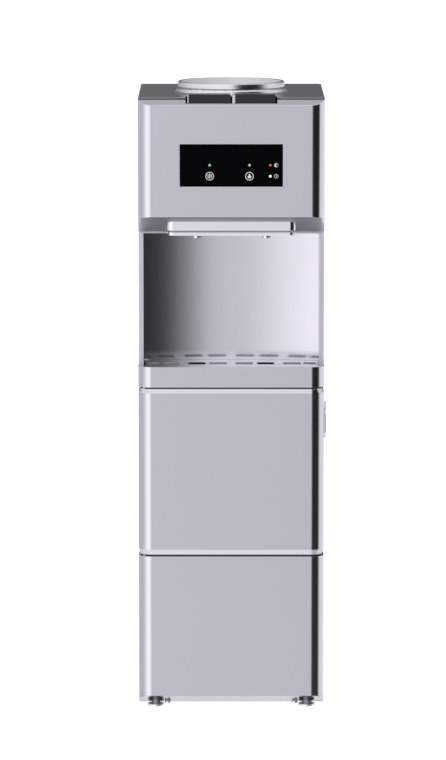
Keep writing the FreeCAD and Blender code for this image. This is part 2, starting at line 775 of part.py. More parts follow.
def nozzle(sx):
    """Round spout with a blind bore."""
    spout = rod(sx * tap_x, tap_depth, nozzle_radius, nozzle_bottom, bay_top)
    return spout.cut(prism(sx * tap_x, tap_depth, nozzle_bore, nozzle_bottom - 1, nozzle_bottom + 3.5))


def tap(sx):
    """Push-to-open tap: flange on the bay's ceiling, body, hose spout, and the bore for the rod."""
    x, top = sx * tap_x, bay_top + tap_height
    body = fused(post(x, tap_depth, tap_reach + 2, bay_top, bay_top + 3),
                 prism(x, tap_depth, tap_reach, bay_top + 3, top),
                 prism(x, tap_depth, 8, top, top + tap_neck, 8),
                 prism_back(x, hose_z, 5, tap_depth, tap_depth + 21, 8))
    return body.cut(prism(x, tap_depth, rod_radius + rod_clearance, rod_bottom - key_travel - 3,
                          top + tap_neck + 1, 8))


def hoses():
    """Hoses from the two tanks to the taps, and the feed from the cold tank to the hot one."""
    start = tap_depth + 21
    cold = pipe([at(-tap_x, start, hose_z), at(-tap_x, cold_ports[0][1], hose_z),
                 at(-tap_x, cold_ports[0][1], deck_z + sheet)], hose_radius, 9, 8)
    hot = pipe([at(tap_x, start, hose_z), at(tap_x, hot_depth, hose_z),
                at(tap_x, hot_depth, hot_high + hot_wool)], hose_radius, 25, 8)
    feed_x, feed_d = cold_ports[1]
    feed = pipe([at(feed_x, feed_d, deck_z + sheet), at(feed_x, feed_d, hot_inlet_z),
                 at(hot_x - hot_jacket, feed_d, hot_inlet_z)], hose_radius, 18, 8)
    return Part.makeCompound([cold, hot, feed])


# ---------------------------------------------------------------- top cover, collar, seat, probe
def top_cover():
    """Dark top with its skirt, the raised seat of the collar and the keys' notch."""
    skin = cover_skin
    outer = plan(half, bevel_depth, cabinet_depth, 1.0, side_top + 0.2, cover_top, back_radius=8.0)
    inner = plan(half - skin, bevel_depth + skin, cabinet_depth - skin, 0.5, side_top, cover_top - skin,
                 back_radius=5.0)
    shell = outer.cut(inner)
    foot_r = collar_outer + blend_out
    seat_low = collar_seat - seat_flange_thick
    rise = collar_seat - cover_top
    mound = faceted([(0, cover_top - skin), (foot_r, cover_top - skin), (foot_r, cover_top),
                     (collar_outer + blend_out * 0.3, cover_top + rise * 0.42),
                     (collar_outer + 0.8, collar_seat), (0, collar_seat)], 0, collar_depth, 40)
    low, high = key_skirt - 8, collar_seat + beyond
    cover = fused(shell, mound).cut(rod(0, collar_depth, seat_inner, low, high))
    cover = cover.cut(rod(0, collar_depth, seat_flange + fit, seat_low, high))
    return cover.cut(block(-notch_half, notch_half, bevel_depth - 1, notch_back, low, high))


def bottle_collar():
    """Bright ring that the bottle's shoulder rests in."""
    ease = 2.4
    body = faceted([(0, collar_seat), (collar_outer, collar_seat), (collar_rim_outer, collar_top - ease),
                    (collar_rim_outer - ease, collar_top), (0, collar_top)], 0, collar_depth, 60)
    return body.cut(rod(0, collar_depth, collar_bore, collar_seat - 1, collar_top + 1))


def bottle_seat():
    """Funnel under the collar, with the socket for the bottle's neck and the spout to the tank."""
    flange_low = collar_seat - seat_flange_thick
    return faceted([(seat_inner - 3.5, collar_seat), (seat_flange, collar_seat), (seat_flange, flange_low),
                    (seat_inner - 0.5, flange_low), (neck_bore + 3, funnel_low - 2),
                    (neck_bore + 2, spout_bottom), (spout_bore, spout_bottom), (spout_bore, neck_floor),
                    (neck_bore, neck_floor), (neck_bore, funnel_low)], 0, collar_depth, 40)


def bottle_probe():
    """Hollow spike that opens the bottle's cap, with windows for water, on a six-sided foot."""
    base, tip = neck_floor, neck_floor + probe_height
    shoulder = tip - probe_radius
    spike = faceted([(0, base), (probe_radius, base), (probe_radius, shoulder), (1.0, tip), (0, tip)],
                    0, collar_depth, 12)
    foot_plate = prism(0, collar_depth, neck_bore - 5.5, base, base + 2.5, 6)
    probe = fused(spike, foot_plate).cut(prism(0, collar_depth, probe_radius - 2.5, base - 1, shoulder - 2))
    wide, low, high = probe_radius + 2, shoulder - 18, shoulder - 6
    windows = [block(-2.5, 2.5, collar_depth - wide, collar_depth + wide, low, high),
               block(-wide, wide, collar_depth - 2.5, collar_depth + 2.5, low, high)]
    for window in windows:
        probe = probe.cut(window)
    return probe


# ---------------------------------------------------------------- keys
def key_cap(sx):
    """One press key: sloped front like the bevel, flat top, open below, with a post for its rod."""
    def body(shrink, low):
        """The key's outer form taken in by shrink all round and open below at low."""
        inner_x = key_gap / 2 + shrink
        outer_x = key_half_span - shrink
        rise = shrink * upright_share(key_top - key_edge_z, key_brow - key_front)
        front = key_front + shrink
        edge = slope_z(shrink, key_edge_z, key_top, key_brow - key_front) - rise
        return profile([(front, low), (front, edge), (key_brow, key_top - rise),
                        (key_back - shrink, key_top - max(rise, shrink)), (key_back - shrink, low)],
                       inner_x, outer_x)
    shape = body(0, key_skirt)
    uprights = [e for e in shape.Edges if e.BoundBox.ZLength > 5 and e.BoundBox.YLength < 0.01]
    shape = shape.makeChamfer(0.8, uprights)
    shape = shape.cut(body(key_wall, key_skirt - 1))
    socket = post(tap_x, tap_depth, rod_radius + 1.4, key_skirt + 2, key_top - 1)
    socket = socket.common(body(0, key_skirt + 1))
    shape = fused(shape, socket).cut(prism(tap_x, tap_depth, rod_radius, key_skirt - beyond, rod_top, 8))
    return shape if sx > 0 else shape.mirror(Vector(0, 0, 0), Vector(1, 0, 0))


def push_rod(sx):
    return prism(sx * tap_x, tap_depth, rod_radius, rod_bottom, rod_top, 8)


def key_carrier():
    """Bridge under the top cover that guides the two rods and stops the keys."""
    low, high = carrier_low, carrier_low + carrier_thick
    reach, front, back = notch_half + 6.2, bevel_depth + 4, notch_back + 4
    plate = block(-reach, reach, front, back, low, high)
    hangers = [block(x - 2, x + 2, front, back, low, cover_top - cover_skin) for x in (3 - reach, reach - 3)]
    guides = [post(sx * tap_x, tap_depth, rod_radius + 3, low - 14, high) for sx in (-1, 1)]
    carrier = fused(plate, *hangers, *guides)
    for sx in (-1, 1):
        carrier = carrier.cut(prism(sx * tap_x, tap_depth, rod_radius + rod_clearance, low - 20,
                                    high + beyond, 8))
        carrier = carrier.cut(block(sx * 25 - 14, sx * 25 + 14, front + 7, back - 6, low - 1, high + 1))
    return carrier


# ---------------------------------------------------------------- display
def display_window():
    """Black window, flush with the head's face, with a wider back."""
    across, tall = display_width / 2, display_height / 2
    front = block(-across, across, 0, wall, display_middle - tall, display_middle + tall)
    back = block(-across - window_lip, across + window_lip, wall, wall + 1.5,
                 display_middle - tall - window_lip, display_middle + tall + window_lip)
    return fused(front, back)


def control_board():
    """Circuit board on four posts behind the window."""
    across, tall = display_width / 2 - 10.3, display_height / 2 - 5.2
    back = board_depth + 1.6
    board = block(-across, across, board_depth, back, display_middle - tall, display_middle + tall)
    posts = [prism_back(sx * (across - 5), display_middle + sz * (tall - 5), 3, wall + 1.5, board_depth, 4)
             for sx in (-1, 1) for sz in (-1, 1)]
    chips = [block(-20, 5, back, back + 3, display_middle - 12, display_middle + 8),
             block(25, 55, back, back + 7.4, display_middle - 20, display_middle + 2)]
    return fused(board, *posts, *chips)


def indicator_leds():
    lamps = [prism_back(x, z, 2.5, wall + 1.5, board_depth, 6) for x, z in led_spots]
    return Part.makeCompound(lamps)


# ---------------------------------------------------------------- tanks
def cold_jacket():
    """Eight-sided foam block round the cold tank, with its foam lid and hollows beside the taps."""
    block_solid = prism(0, collar_depth, jacket_radius, deck_z + sheet, jacket_top, 8)
    room = prism(0, collar_depth, sleeve_radius + fit, cold_low, cold_high, 24)
    mouth = prism(0, collar_depth, tank_mouth, cold_high - 1, jacket_top + 1)
    shape = block_solid.cut(room).cut(mouth)
    for x, d in cold_ports:
        shape = shape.cut(post(x, d, hose_radius - 1, deck_z, cold_low + 1))
    for x in (-tap_x, tap_x):
        shape = shape.cut(post(x, tap_depth, tap_reach + 2, deck_z, bay_top + tap_height + tap_neck + 2))
    return shape


def cold_tank():
    """Stainless tank, open in the middle of its top under the seat's spout, with two ports below."""
    tank = prism(0, collar_depth, cold_radius, cold_low, cold_high, 24)
    tank = tank.cut(prism(0, collar_depth, cold_radius - tank_skin, cold_low + tank_skin,
                          cold_high - tank_skin, 24))
    tank = tank.cut(prism(0, collar_depth, tank_mouth, cold_high - 5, cold_high + 1))
    ports = [post(x, d, hose_radius - 1.1, deck_z + sheet, cold_low + 1) for x, d in cold_ports]
    tank = fused(tank, *ports)
    for x, d in cold_ports:
        tank = tank.cut(post(x, d, hose_radius - 2.2, deck_z, cold_low + 5))
    return tank


def evaporator_sleeve():
    """Flat-sided evaporator wrapped round the cold tank, with its end gap at the back."""
    inner = (cold_radius + fit) / math.cos(math.pi / 24)
    sleeve = prism(0, collar_depth, sleeve_radius, cold_low + 14, cold_high - 14, 24)
    sleeve = sleeve.cut(prism(0, collar_depth, inner, cold_low, cold_high, 24))
    return sleeve.cut(block(-6, 6, collar_depth, collar_depth + 100, cold_low, cold_high))


def hot_inlet(x0):
    """The hot tank's square inlet, from x0 to the tank's middle."""
    d, z = cold_ports[1][1], hot_inlet_z
    return block(x0, hot_x, d - inlet_half, d + inlet_half, z - inlet_half, z + inlet_half)


def hot_tank():
    """Hollow heating tank with its outlet, inlet and drain stubs."""
    drum = prism(hot_x, hot_depth, hot_radius, hot_low, hot_high, 24)
    outlet = post(tap_x, hot_depth, hose_radius - 1, hot_high - 1, hot_high + hot_wool)
    inlet = hot_inlet(hot_x - hot_jacket)
    drain = fused(prism_back(drain_x, drain_z, drain_radius - 2, hot_depth, cabinet_depth),
                  prism_back(drain_x, drain_z, drain_radius, hot_depth + hot_jacket, cabinet_depth + 6))
    tank = fused(drum, outlet, inlet, drain)
    return tank.cut(prism(hot_x, hot_depth, hot_radius - tank_skin, hot_low + tank_skin,
                          hot_high - tank_skin, 24))


def hot_jacket_wrap():
    """Square block of mineral wool round the hot tank."""
    shape = post(hot_x, hot_depth, hot_jacket, hot_low - hot_wool, hot_high + hot_wool)
    shape = shape.cut(prism(hot_x, hot_depth, hot_radius, hot_low, hot_high, 24))
    shape = shape.cut(post(tap_x, hot_depth, hose_radius - 1, hot_high - 1, hot_high + hot_wool + 1))
    shape = shape.cut(hot_inlet(hot_x - hot_jacket - 1))
    return shape.cut(prism_back(drain_x, drain_z, drain_radius - 2, hot_depth, hot_depth + hot_jacket + 1))


def drain_cap():
    """Twelve-sided cap over the drain's end."""
    back = cabinet_depth + cap_length
    cap = prism_back(drain_x, drain_z, cap_radius, cabinet_depth + 0.3, back)
    cap = cap.makeChamfer(1.2, [e for e in cap.Edges if abs(e.BoundBox.YMin - front_y - back) < 1e-4])
    return cap.cut(prism_back(drain_x, drain_z, drain_radius + 0.3, cabinet_depth, cabinet_depth + 6.25))


# ---------------------------------------------------------------- rear switches and cord gland
def switch_body(spot, grow=0.0):
    """The part of a switch that goes through the panel."""
    x, z = spot
    across, tall = switch_size[1] / 2 + grow, switch_size[0] / 2 + grow
    back = cabinet_depth + (1 if grow else 0)
    return block(x - across, x + across, side_back - switch_deep, back, z - tall, z + tall)


def switch_frames():
    """Two snap-in switch housings, with the open mouth that the rocker tips in."""
    frames = []
    for x, z in switch_spots:
        across, tall = switch_size[1] / 2, switch_size[0] / 2
        bezel = block(x - across - 2, x + across + 2, cabinet_depth, cabinet_depth + 2,
                      z - tall - 2, z + tall + 2)
        mouth = block(x - across + 1.5, x + across - 1.5, cabinet_depth - 8, cabinet_depth + 3,
                      z - tall + 1.5, z + tall - 1.5)
        pivot = rod_across(rocker_depth, z, 1.0, x - across + 1, x + across - 1)
        frames.append(fused(fused(switch_body((x, z)), bezel).cut(mouth), pivot))
    return Part.makeCompound(frames)


def rocker(spot):
    """Rocker with a shallow V face, bored for the housing's pivot."""
    x, z = spot
    across = switch_size[1] / 2 - 1.9
    tall = switch_size[0] / 2 - 2.6
    face = cabinet_depth + 1.2
    shape = profile([(face + 1.3, z - tall), (face, z), (face + 1.3, z + tall),
                     (rocker_depth + 1.5, z + tall), (rocker_depth - 2.3, z), (rocker_depth + 1.5, z - tall)],
                    x - across, x + across)
    return shape.cut(rod_across(rocker_depth, z, 1.06, x - across - 1, x + across + 1))


def cord_gland():
    """Bushing in the rear panel where the mains lead would enter."""
    bush = fused(prism_back(gland_x, gland_z, gland_outer, side_back - 5, cabinet_depth + 4),
                 prism_back(gland_x, gland_z, gland_outer + 2, cabinet_depth, cabinet_depth + 4),
                 prism_back(gland_x, gland_z, gland_outer + 2, side_back - 5, side_back))
    front, back = side_back - 2 * beyond, cabinet_depth + 2 * beyond
    return bush.cut(rod_back(gland_x, gland_z, gland_bore, front, back))


# ---------------------------------------------------------------- cooling set
def compressor_shell(grow=0.0):
    low, r = compressor_low, compressor_radius + grow
    seam, shoulder, top = low + compressor_seam, low + compressor_shoulder, low + compressor_height
    return faceted([(0, low), (r - 3, low), (r, seam), (r + 3, seam), (r + 3, seam + 6),
                    (r - 1, seam + 6), (r - 9, shoulder), (r - 36, top), (0, top)],
                   compressor_x, compressor_depth, 28)


def compressor():
    """Welded steel shell with a seam band and a domed top on a foot plate."""
    low, r = compressor_low, compressor_radius
    shell = compressor_shell()
    shell = shell.cut(prism(compressor_x, compressor_depth, r - 14, low + 12, low + compressor_shoulder - 13))
    plate = block(compressor_x - foot_plate_half, compressor_x + foot_plate_half,
                  compressor_depth - mount_y - 12, compressor_depth + mount_y + 12, low, low + 4)
    plate = plate.makeChamfer(9, [e for e in plate.Edges if e.BoundBox.ZLength > 1])
    stub = prism_back(discharge_x, discharge_z, 4, compressor_depth + 40, compressor_depth + r + 8, 6)
    suction = prism(suction_x, suction_depth, 4, low + compressor_shoulder - 5, suction_top, 6)
    shape = fused(shell, plate, stub, suction)
    for sx in (-1, 1):
        for sd in (-1, 1):
            shape = shape.cut(post(compressor_x + sx * mount_x, compressor_depth + sd * mount_y, 6,
                                   low - 1, low + 6))
    return shape


def compressor_grommets():
    """Four rubber mounts between the base and the compressor's foot plate."""
    seat = compressor_low
    mounts = []
    for sx in (-1, 1):
        for sd in (-1, 1):
            x, d = compressor_x + sx * mount_x, compressor_depth + sd * mount_y
            mount = fused(prism(x, d, 11, mount_low, seat, 8), post(x, d, 6, seat, seat + 5))
            mounts.append(mount.cut(post(x, d, 3, mount_low - 1, seat + 10)))
    return Part.makeCompound(mounts)


def compressor_bolts():
    """Four bolts with broad washers through the rubber mounts."""
    seat = compressor_low + 5
    bolts = []
    for sx in (-1, 1):
        for sd in (-1, 1):
            x, d = compressor_x + sx * mount_x, compressor_depth + sd * mount_y
            bolts.append(fused(prism(x, d, 3.0, mount_low, seat + 1, 6), prism(x, d, 9, seat, seat + 1.5),
                               prism(x, d, 5.5, seat + 1.5, seat + 6, 6)))
    return Part.makeCompound(bolts)


def relay_box():
    """Starter and overload cover clipped to the compressor's side."""
    low = compressor_low + 12
    box_front = compressor_depth - compressor_radius - 20
    shape = block(compressor_x - 26, compressor_x + 26, box_front, compressor_depth - 50, low, low + 52)
    shape = shape.makeChamfer(4, [e for e in shape.Edges if e.BoundBox.YMax < front_y + box_front + 1])
    return shape.cut(compressor_shell(0.1))


def condenser_tube():
    """One unbroken serpentine tube with a short tail at each end."""
    d = condenser_depth
    bend = condenser_pitch / 2
    tail = 1.5 * bend
    points = [at(tail_right, d, condenser_low - tail), at(tail_right, d, condenser_low)]
    for i in range(condenser_passes):
        z = condenser_low + i * condenser_pitch
        side = -1 if i % 2 == 0 else 1
        if i:
            points.append(at(-side * (condenser_half + bend), d, z))
        points.append(at(side * (condenser_half + bend), d, z))
    top = condenser_low + (condenser_passes - 1) * condenser_pitch
    points[-1] = at(tail_left, d, top)
    points.append(at(tail_left, d, top - tail))
    return pipe(points, tube_radius, bend)


def condenser_wires():
    """Upright wires in front of and behind the tube."""
    low, high = condenser_low - 14, condenser_low + (condenser_passes - 1) * condenser_pitch + 14
    step = 2 * wire_half / (wire_count - 1)
    offset = tube_radius + wire_radius + 0.05
    wires = [post(-wire_half + i * step, condenser_depth + side * offset, wire_radius, low, high)
             for i in range(wire_count) for side in (-1, 1)]
    return Part.makeCompound(wires)


def saddle(x, z):
    """The square hole that the tube runs through in a clip."""
    reach = tube_radius + 0.05
    return block(x - 9, x + 9, condenser_depth - reach, condenser_depth + reach, z - reach, z + reach)


def condenser_brackets():
    """Four clips that hold the tube off the rear panel."""
    clips = []
    for x, z in bracket_spots:
        foot_plate = block(x - 5, x + 5, cabinet_depth, cabinet_depth + 2.5, z - 20, z + 9)
        arm = block(x - 4, x + 4, cabinet_depth + 2.5, condenser_depth + tube_radius + 2, z - 6, z + 6)
        clips.append(fused(foot_plate, arm).cut(saddle(x, z)))
    return Part.makeCompound(clips)


def filter_drier():
    """Copper drier at the condenser's outlet."""
    x, d, low = tail_right, condenser_depth, base_top + 33
    return fused(prism(x, d, tube_radius, low - 16, condenser_low - 0.75 * condenser_pitch, 6),
                 prism(x, d, drier_radius, low, low + 62))


def discharge_pipe():
    """From the compressor round to the condenser's upper tail."""
    low, d = discharge_z, condenser_depth
    top = condenser_low + (condenser_passes - 1.75) * condenser_pitch
    return pipe([at(discharge_x, compressor_depth + compressor_radius + 8, low), at(discharge_x, d, low),
                 at(tail_left, d, low), at(tail_left, d, top)], tube_radius, 14)


def suction_pipe():
    """From the cold tank's evaporator down the rear to the compressor."""
    jacket_flat = jacket_radius * math.cos(math.pi / 8)
    up_x, up_d = (jacket_flat + panel_inner) / 2, deck_back + 8
    turn, top = suction_turn, deck_z + 65
    return pipe([at(suction_x, suction_depth, suction_top), at(suction_x, suction_depth, turn),
                 at(suction_x, up_d, turn), at(up_x, up_d, turn), at(up_x, up_d, top),
                 at(up_x, collar_depth, top), at(jacket_flat, collar_depth, top)], 3.5, 11)


# ---------------------------------------------------------------- fasteners
def screw_head(x, depth, z, radius=4.0):
    """A six-sided screw head that sits on a rear face."""
    return prism_back(x, z, radius, depth, depth + 2.2, 6)


def rear_screws():
    """Screw heads round the rear panel and on the condenser's clips."""
    edge = panel_inner - rear_flange / 2 - 0.8
    heads = [screw_head(x, cabinet_depth, z) for x in (-edge, edge) for z in screw_heights]
    heads += [screw_head(x, cabinet_depth + 2.5, z - 14) for x, z in bracket_spots]
    return Part.makeCompound(heads)


# ---------------------------------------------------------------- the list of pieces
pieces = {
    "base_pan": base_pan,
    "feet": feet,
    "skirt_bumpers": skirt_bumpers,
    "lower_panel": lower_panel,
    "side_panel_right": side_panel,
    "side_panel_left": lambda: side_panel().mirror(Vector(0, 0, 0), Vector(1, 0, 0)),
    "rear_panel": rear_panel,
    "cabinet_deck": cabinet_deck,
    "hot_tank_deck": hot_deck,
    "cold_tank_deck": cold_deck,
    "cabinet_liner": cabinet_liner,
    "cabinet_shelf": cabinet_shelf,
    "door_outer": door_outer,
    "door_inner": door_inner,
    "door_gasket": door_gasket,
    "door_hinge_bushes": door_hinge_bushes,
    "door_hinge_pins": door_hinge_pins,
    "door_pull": door_pull,
    "tray_fascia": tray_fascia,
    "drip_tray": drip_tray,
    "drip_grille": drip_grille,
    "niche_liner": niche_liner,
    "head_fascia": head_fascia,
    "nozzle_module": nozzle_module,
    "nozzles": lambda: both_sides(nozzle(1)),
    "taps": lambda: both_sides(tap(1)),
    "water_hoses": hoses,
    "top_cover": top_cover,
    "bottle_collar": bottle_collar,
    "bottle_seat": bottle_seat,
    "bottle_probe": bottle_probe,
    "cold_key": lambda: key_cap(-1),
    "hot_key": lambda: key_cap(1),
    "cold_push_rod": lambda: push_rod(-1),
    "hot_push_rod": lambda: push_rod(1),
    "key_carrier": key_carrier,
    "display_window": display_window,
    "control_board": control_board,
    "indicator_leds": indicator_leds,
    "cold_tank_jacket": cold_jacket,
    "cold_tank": cold_tank,
    "evaporator_sleeve": evaporator_sleeve,
    "hot_tank": hot_tank,
    "hot_tank_jacket": hot_jacket_wrap,
    "drain_cap": drain_cap,
    "switch_frames": switch_frames,
    "cold_rocker": lambda: rocker(switch_spots[0]),
    "hot_rocker": lambda: rocker(switch_spots[1]),
    "cord_gland": cord_gland,
    "compressor": compressor,
    "compressor_grommets": compressor_grommets,
    "compressor_bolts": compressor_bolts,
    "relay_box": relay_box,
    "condenser_tube": condenser_tube,
    "condenser_wires": condenser_wires,
    "condenser_brackets": condenser_brackets,
    "filter_drier": filter_drier,
    "discharge_pipe": discharge_pipe,
    "suction_pipe": suction_pipe,
    "rear_screws": rear_screws,
}


def main():
    os.makedirs("parts", exist_ok=True)
    for name, make in pieces.items():
        shape = make()
        if not shape.isValid() or not shape.Solids:
            print("CHECK", name, shape.isValid(), len(shape.Solids))
        shape.exportStep("parts/" + name + ".step")
        print("%-22s solids %2d  volume %10.0f" % (name, len(shape.Solids), shape.Volume))


main()
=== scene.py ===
# %% [markdown]
# # A free-standing water dispenser
# The object is a slim silver cabinet with a bottle collar on top, two press keys, a black display,
# a tap bay with a drip tray, and a storage door.  Its measured solids come from the frame, so this
# lesson never fits anything by eye: it dresses the solids whose shape is right, and builds finer
# pieces where a plain solid would look coarse, such as round rims, bent tubes and printed icons.

# %% Load the frame
import math

import bmesh
import bpy
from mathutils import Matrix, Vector


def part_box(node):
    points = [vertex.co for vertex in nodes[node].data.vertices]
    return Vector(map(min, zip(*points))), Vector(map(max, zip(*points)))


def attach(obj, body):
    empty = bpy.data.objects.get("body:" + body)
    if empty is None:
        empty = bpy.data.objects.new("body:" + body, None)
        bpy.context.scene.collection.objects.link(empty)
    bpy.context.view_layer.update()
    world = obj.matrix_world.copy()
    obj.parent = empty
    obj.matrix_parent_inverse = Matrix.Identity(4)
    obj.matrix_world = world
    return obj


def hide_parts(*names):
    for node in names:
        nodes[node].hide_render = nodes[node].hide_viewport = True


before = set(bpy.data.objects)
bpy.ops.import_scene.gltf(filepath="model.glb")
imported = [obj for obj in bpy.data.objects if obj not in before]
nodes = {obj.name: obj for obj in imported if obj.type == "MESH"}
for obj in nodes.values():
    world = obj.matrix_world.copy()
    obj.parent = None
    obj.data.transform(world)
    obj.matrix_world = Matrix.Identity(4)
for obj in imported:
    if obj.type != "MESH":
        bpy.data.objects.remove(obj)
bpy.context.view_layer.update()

# %% [markdown]
# ## Measures
# Everything is read from the solids' own boxes, so a change in the source moves the dressing too.
# A "depth" is measured back from the flat front face, as a maker would with a rule.

# %% Key places
MM = 0.001
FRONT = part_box("door_outer")[0].y
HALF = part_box("door_outer")[1].x
COLLAR_STEP = 7.5
COVER_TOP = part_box("bottle_collar")[0].z - COLLAR_STEP * MM
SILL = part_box("drip_grille")[1].z
BAY_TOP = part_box("niche_liner")[1].z
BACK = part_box("rear_panel")[1].y
COLLAR = (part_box("bottle_collar")[0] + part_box("bottle_collar")[1]) / 2
FRONT_CORNER = 22.0


def y_at(depth):
    """The y of a place that lies depth millimetres behind the front face."""
    return FRONT + depth * MM


def at(x, depth, z):
    """A place from millimetres across, behind the front face, and up."""
    return Vector((x * MM, y_at(depth), z * MM))


print("cover top", round(COVER_TOP, 4), "sill", round(SILL, 4), "back", round(BACK, 4))

# %% [markdown]
# ## Camera
# The photograph was taken from far away with a long lens, a little above the top of the machine,
# so verticals stay straight.  The distance and the tilt were worked out from how much the top and
# the foot differ in scale, and from how much of the top shows.

# %% Camera
LENS_MM, AWAY, EYE_HEIGHT, SIDEWAYS, TILT = 220.3, 7.683, 1.570, -0.0139, 82.5
camera_data = bpy.data.cameras.new("camera")
camera_data.lens, camera_data.sensor_width, camera_data.clip_end = LENS_MM, 36.0, 60.0
camera = bpy.data.objects.new("camera", camera_data)
bpy.context.scene.collection.objects.link(camera)
camera.location = (SIDEWAYS, FRONT - AWAY, EYE_HEIGHT)
camera.rotation_euler = (math.radians(TILT), 0.0, 0.0)
bpy.context.scene.camera = camera
bpy.context.scene.view_settings.view_transform = "Standard"
print("camera at", [round(v, 3) for v in camera.location])

# %% [markdown]
# ## Small helpers for meshes
# `piece` turns a bmesh into an object.  `round_off` gives a solid the thin rounded edges that every
# moulded or folded part has: it welds and cleans the mesh, bevels what is sharper than an angle,
# and weights the normals so that flat faces stay flat beside smooth corners.

# %% Pieces and their edges
WELD_GAP, FLAT_ANGLE, ROUND_ANGLE = 0.000005, 0.3, 35.0


def piece(name, bm, finish, body, stands_for=(), edge=0.0, angle=ROUND_ANGLE, merge_flats=True):
    """A finished object from a bmesh, riding on a body, standing for CAD nodes if it replaces any."""
    bmesh.ops.recalc_face_normals(bm, faces=bm.faces)
    mesh = bpy.data.meshes.new(name)
    bm.to_mesh(mesh)
    bm.free()
    return settle(bpy.data.objects.new(name, mesh), finish, body, stands_for, edge, angle, merge_flats)


def settle(obj, finish, body, stands_for=(), edge=0.0, angle=ROUND_ANGLE, merge_flats=True):
    """Links, dresses and seats an object."""
    bpy.context.scene.collection.objects.link(obj)
    obj.data.materials.append(finish)
    if obj.type == "MESH":
        round_off(obj, edge, angle, merge_flats)
    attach(obj, body)
    if stands_for:
        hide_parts(*stands_for)
    return obj


def round_off(obj, edge, angle=ROUND_ANGLE, merge_flats=True):
    """Welds and bevels an object and weights its normals; flat faces merge first, if none has holes."""
    for polygon in obj.data.polygons:
        polygon.use_smooth = True
    weld = obj.modifiers.new("weld", "WELD")
    weld.merge_threshold = WELD_GAP
    if merge_flats:
        clean = obj.modifiers.new("clean", "DECIMATE")
        clean.decimate_type = "DISSOLVE"
        clean.angle_limit = math.radians(FLAT_ANGLE)
    if edge:
        bevel = obj.modifiers.new("edge", "BEVEL")
        bevel.width, bevel.segments = edge, 2
        bevel.limit_method = "ANGLE"
        bevel.angle_limit = math.radians(angle)
        bevel.miter_outer = "MITER_ARC"
    normals = obj.modifiers.new("normals", "WEIGHTED_NORMAL")
    normals.keep_sharp = not edge


def thicken(obj, thickness, even=True):
    """Gives a sheet its thickness, inwards, after the cleaning and before the bevel."""
    wall = obj.modifiers.new("wall", "SOLIDIFY")
    wall.thickness, wall.offset, wall.use_even_offset = thickness * MM, -1.0, even
    obj.modifiers.move(len(obj.modifiers) - 1, max(1, obj.modifiers.find("clean") + 1))


print("pieces weld points closer than", WELD_GAP, "m")

# %% [markdown]
# ## Turned and lofted forms
# Both join rings of points by faces.  A lathe turns one side view round an axis, which suits rims and
# cans, and a loft passes through outlines that may all differ, which suits pressed skins.

# %% Turned and lofted forms
def lathe(name, points, centre, finish, body, stands_for=(), sides=96, axis="Z", edge=0.0):
    """A turned piece from (radius, height) points in millimetres; a radius of 0 closes on the axis."""
    bm = bmesh.new()
    turn = {"Z": lambda r, t, h: (r * math.cos(t), r * math.sin(t), h),
            "Y": lambda r, t, h: (r * math.cos(t), h, r * math.sin(t)),
            "X": lambda r, t, h: (h, r * math.cos(t), r * math.sin(t))}[axis]
    loops = []
    for radius, height in points:
        count = sides if radius > 0 else 1
        loops.append([bm.verts.new(Vector(turn(radius * MM, 2 * math.pi * i / sides, height * MM))
                                   + Vector(centre)) for i in range(count)])
    closed = points[0][0] > 0
    pairs = list(zip(loops, loops[1:] + (loops[:1] if closed else [])))
    for low, high in pairs:
        for i in range(sides):
            j = (i + 1) % sides
            corners = [low[i % len(low)], low[j % len(low)], high[j % len(high)], high[i % len(high)]]
            unique = list(dict.fromkeys(corners))
            if len(unique) > 2:
                bm.faces.new(unique)
    return piece(name, bm, finish, body, stands_for, edge)


def loft(bm, rings, closed=False, caps=()):
    """Faces between rings of points of one count, and over the rings whose numbers are in caps."""
    made = [[bm.verts.new(point) for point in ring] for ring in rings]
    for low, high in zip(made, made[1:]):
        count = len(low)
        for i in range(count if closed else count - 1):
            j = (i + 1) % count
            bm.faces.new((low[i], low[j], high[j], high[i]))
    for end in caps:
        bm.faces.new(made[end])


def circle(radius, sides):
    """The corners of a regular outline round the origin, as pairs."""
    turns = (2 * math.pi * i / sides for i in range(sides))
    return [(radius * math.cos(turn), radius * math.sin(turn)) for turn in turns]


def turned(bm, profile, x, y, sides, caps=()):
    """A form turned round an upright axis, from (radius, height) points in millimetres."""
    rings = [[Vector((x + across * MM, y + along * MM, z * MM)) for across, along in circle(r, sides)]
             for r, z in profile]
    loft(bm, rings, closed=True, caps=caps)


print("lathe and loft ready")

# %% [markdown]
# ## Outlines
# The front mouldings share one plan with round corners, so it is drawn once, and every piece that
# follows it asks for the same outline, drawn in by its own amount.

# %% Outlines
def front_path(inset, back, corner=FRONT_CORNER, steps=12, extra=()):
    """The plan of a front moulding as (x, depth) points: left return, round corners, right return."""
    half, radius = HALF / MM - inset, corner - inset
    left = arc(-half + radius, inset + radius, radius, 180, 270, steps)
    right = arc(half - radius, inset + radius, radius, 270, 360, steps)
    return [(-half, back)] + left + right + [(half, depth) for depth in extra] + [(half, back)]


def arc(cx, cy, radius, start, end, steps=6):
    """Points along an arc, for profiles; the angles are in degrees."""
    turns = [math.radians(start + (end - start) * i / steps) for i in range(steps + 1)]
    return [(cx + radius * math.cos(t), cy + radius * math.sin(t)) for t in turns]


print("front corner", FRONT_CORNER, "mm")

# %% [markdown]
# ## Finishes
# Silver appliance plastic is a clear-coated paint with fine metal flake: close up it sparkles a
# little, far away it is an even satin.  One function builds every finish from noise at the scale
# of the real grain, so no surface is a single flat colour and none needs a picture.

# %% Finish maker
def set_inputs(node, **values):
    """Sets a node's sockets by name; an underscore stands for a space."""
    for name, value in values.items():
        node.inputs[name.replace("_", " ")].default_value = value


PATCH_SCALE, COAT_ROUGHNESS, RELIEF, ROUGHNESS_SWING = 9.0, 0.08, 0.0002, 0.04


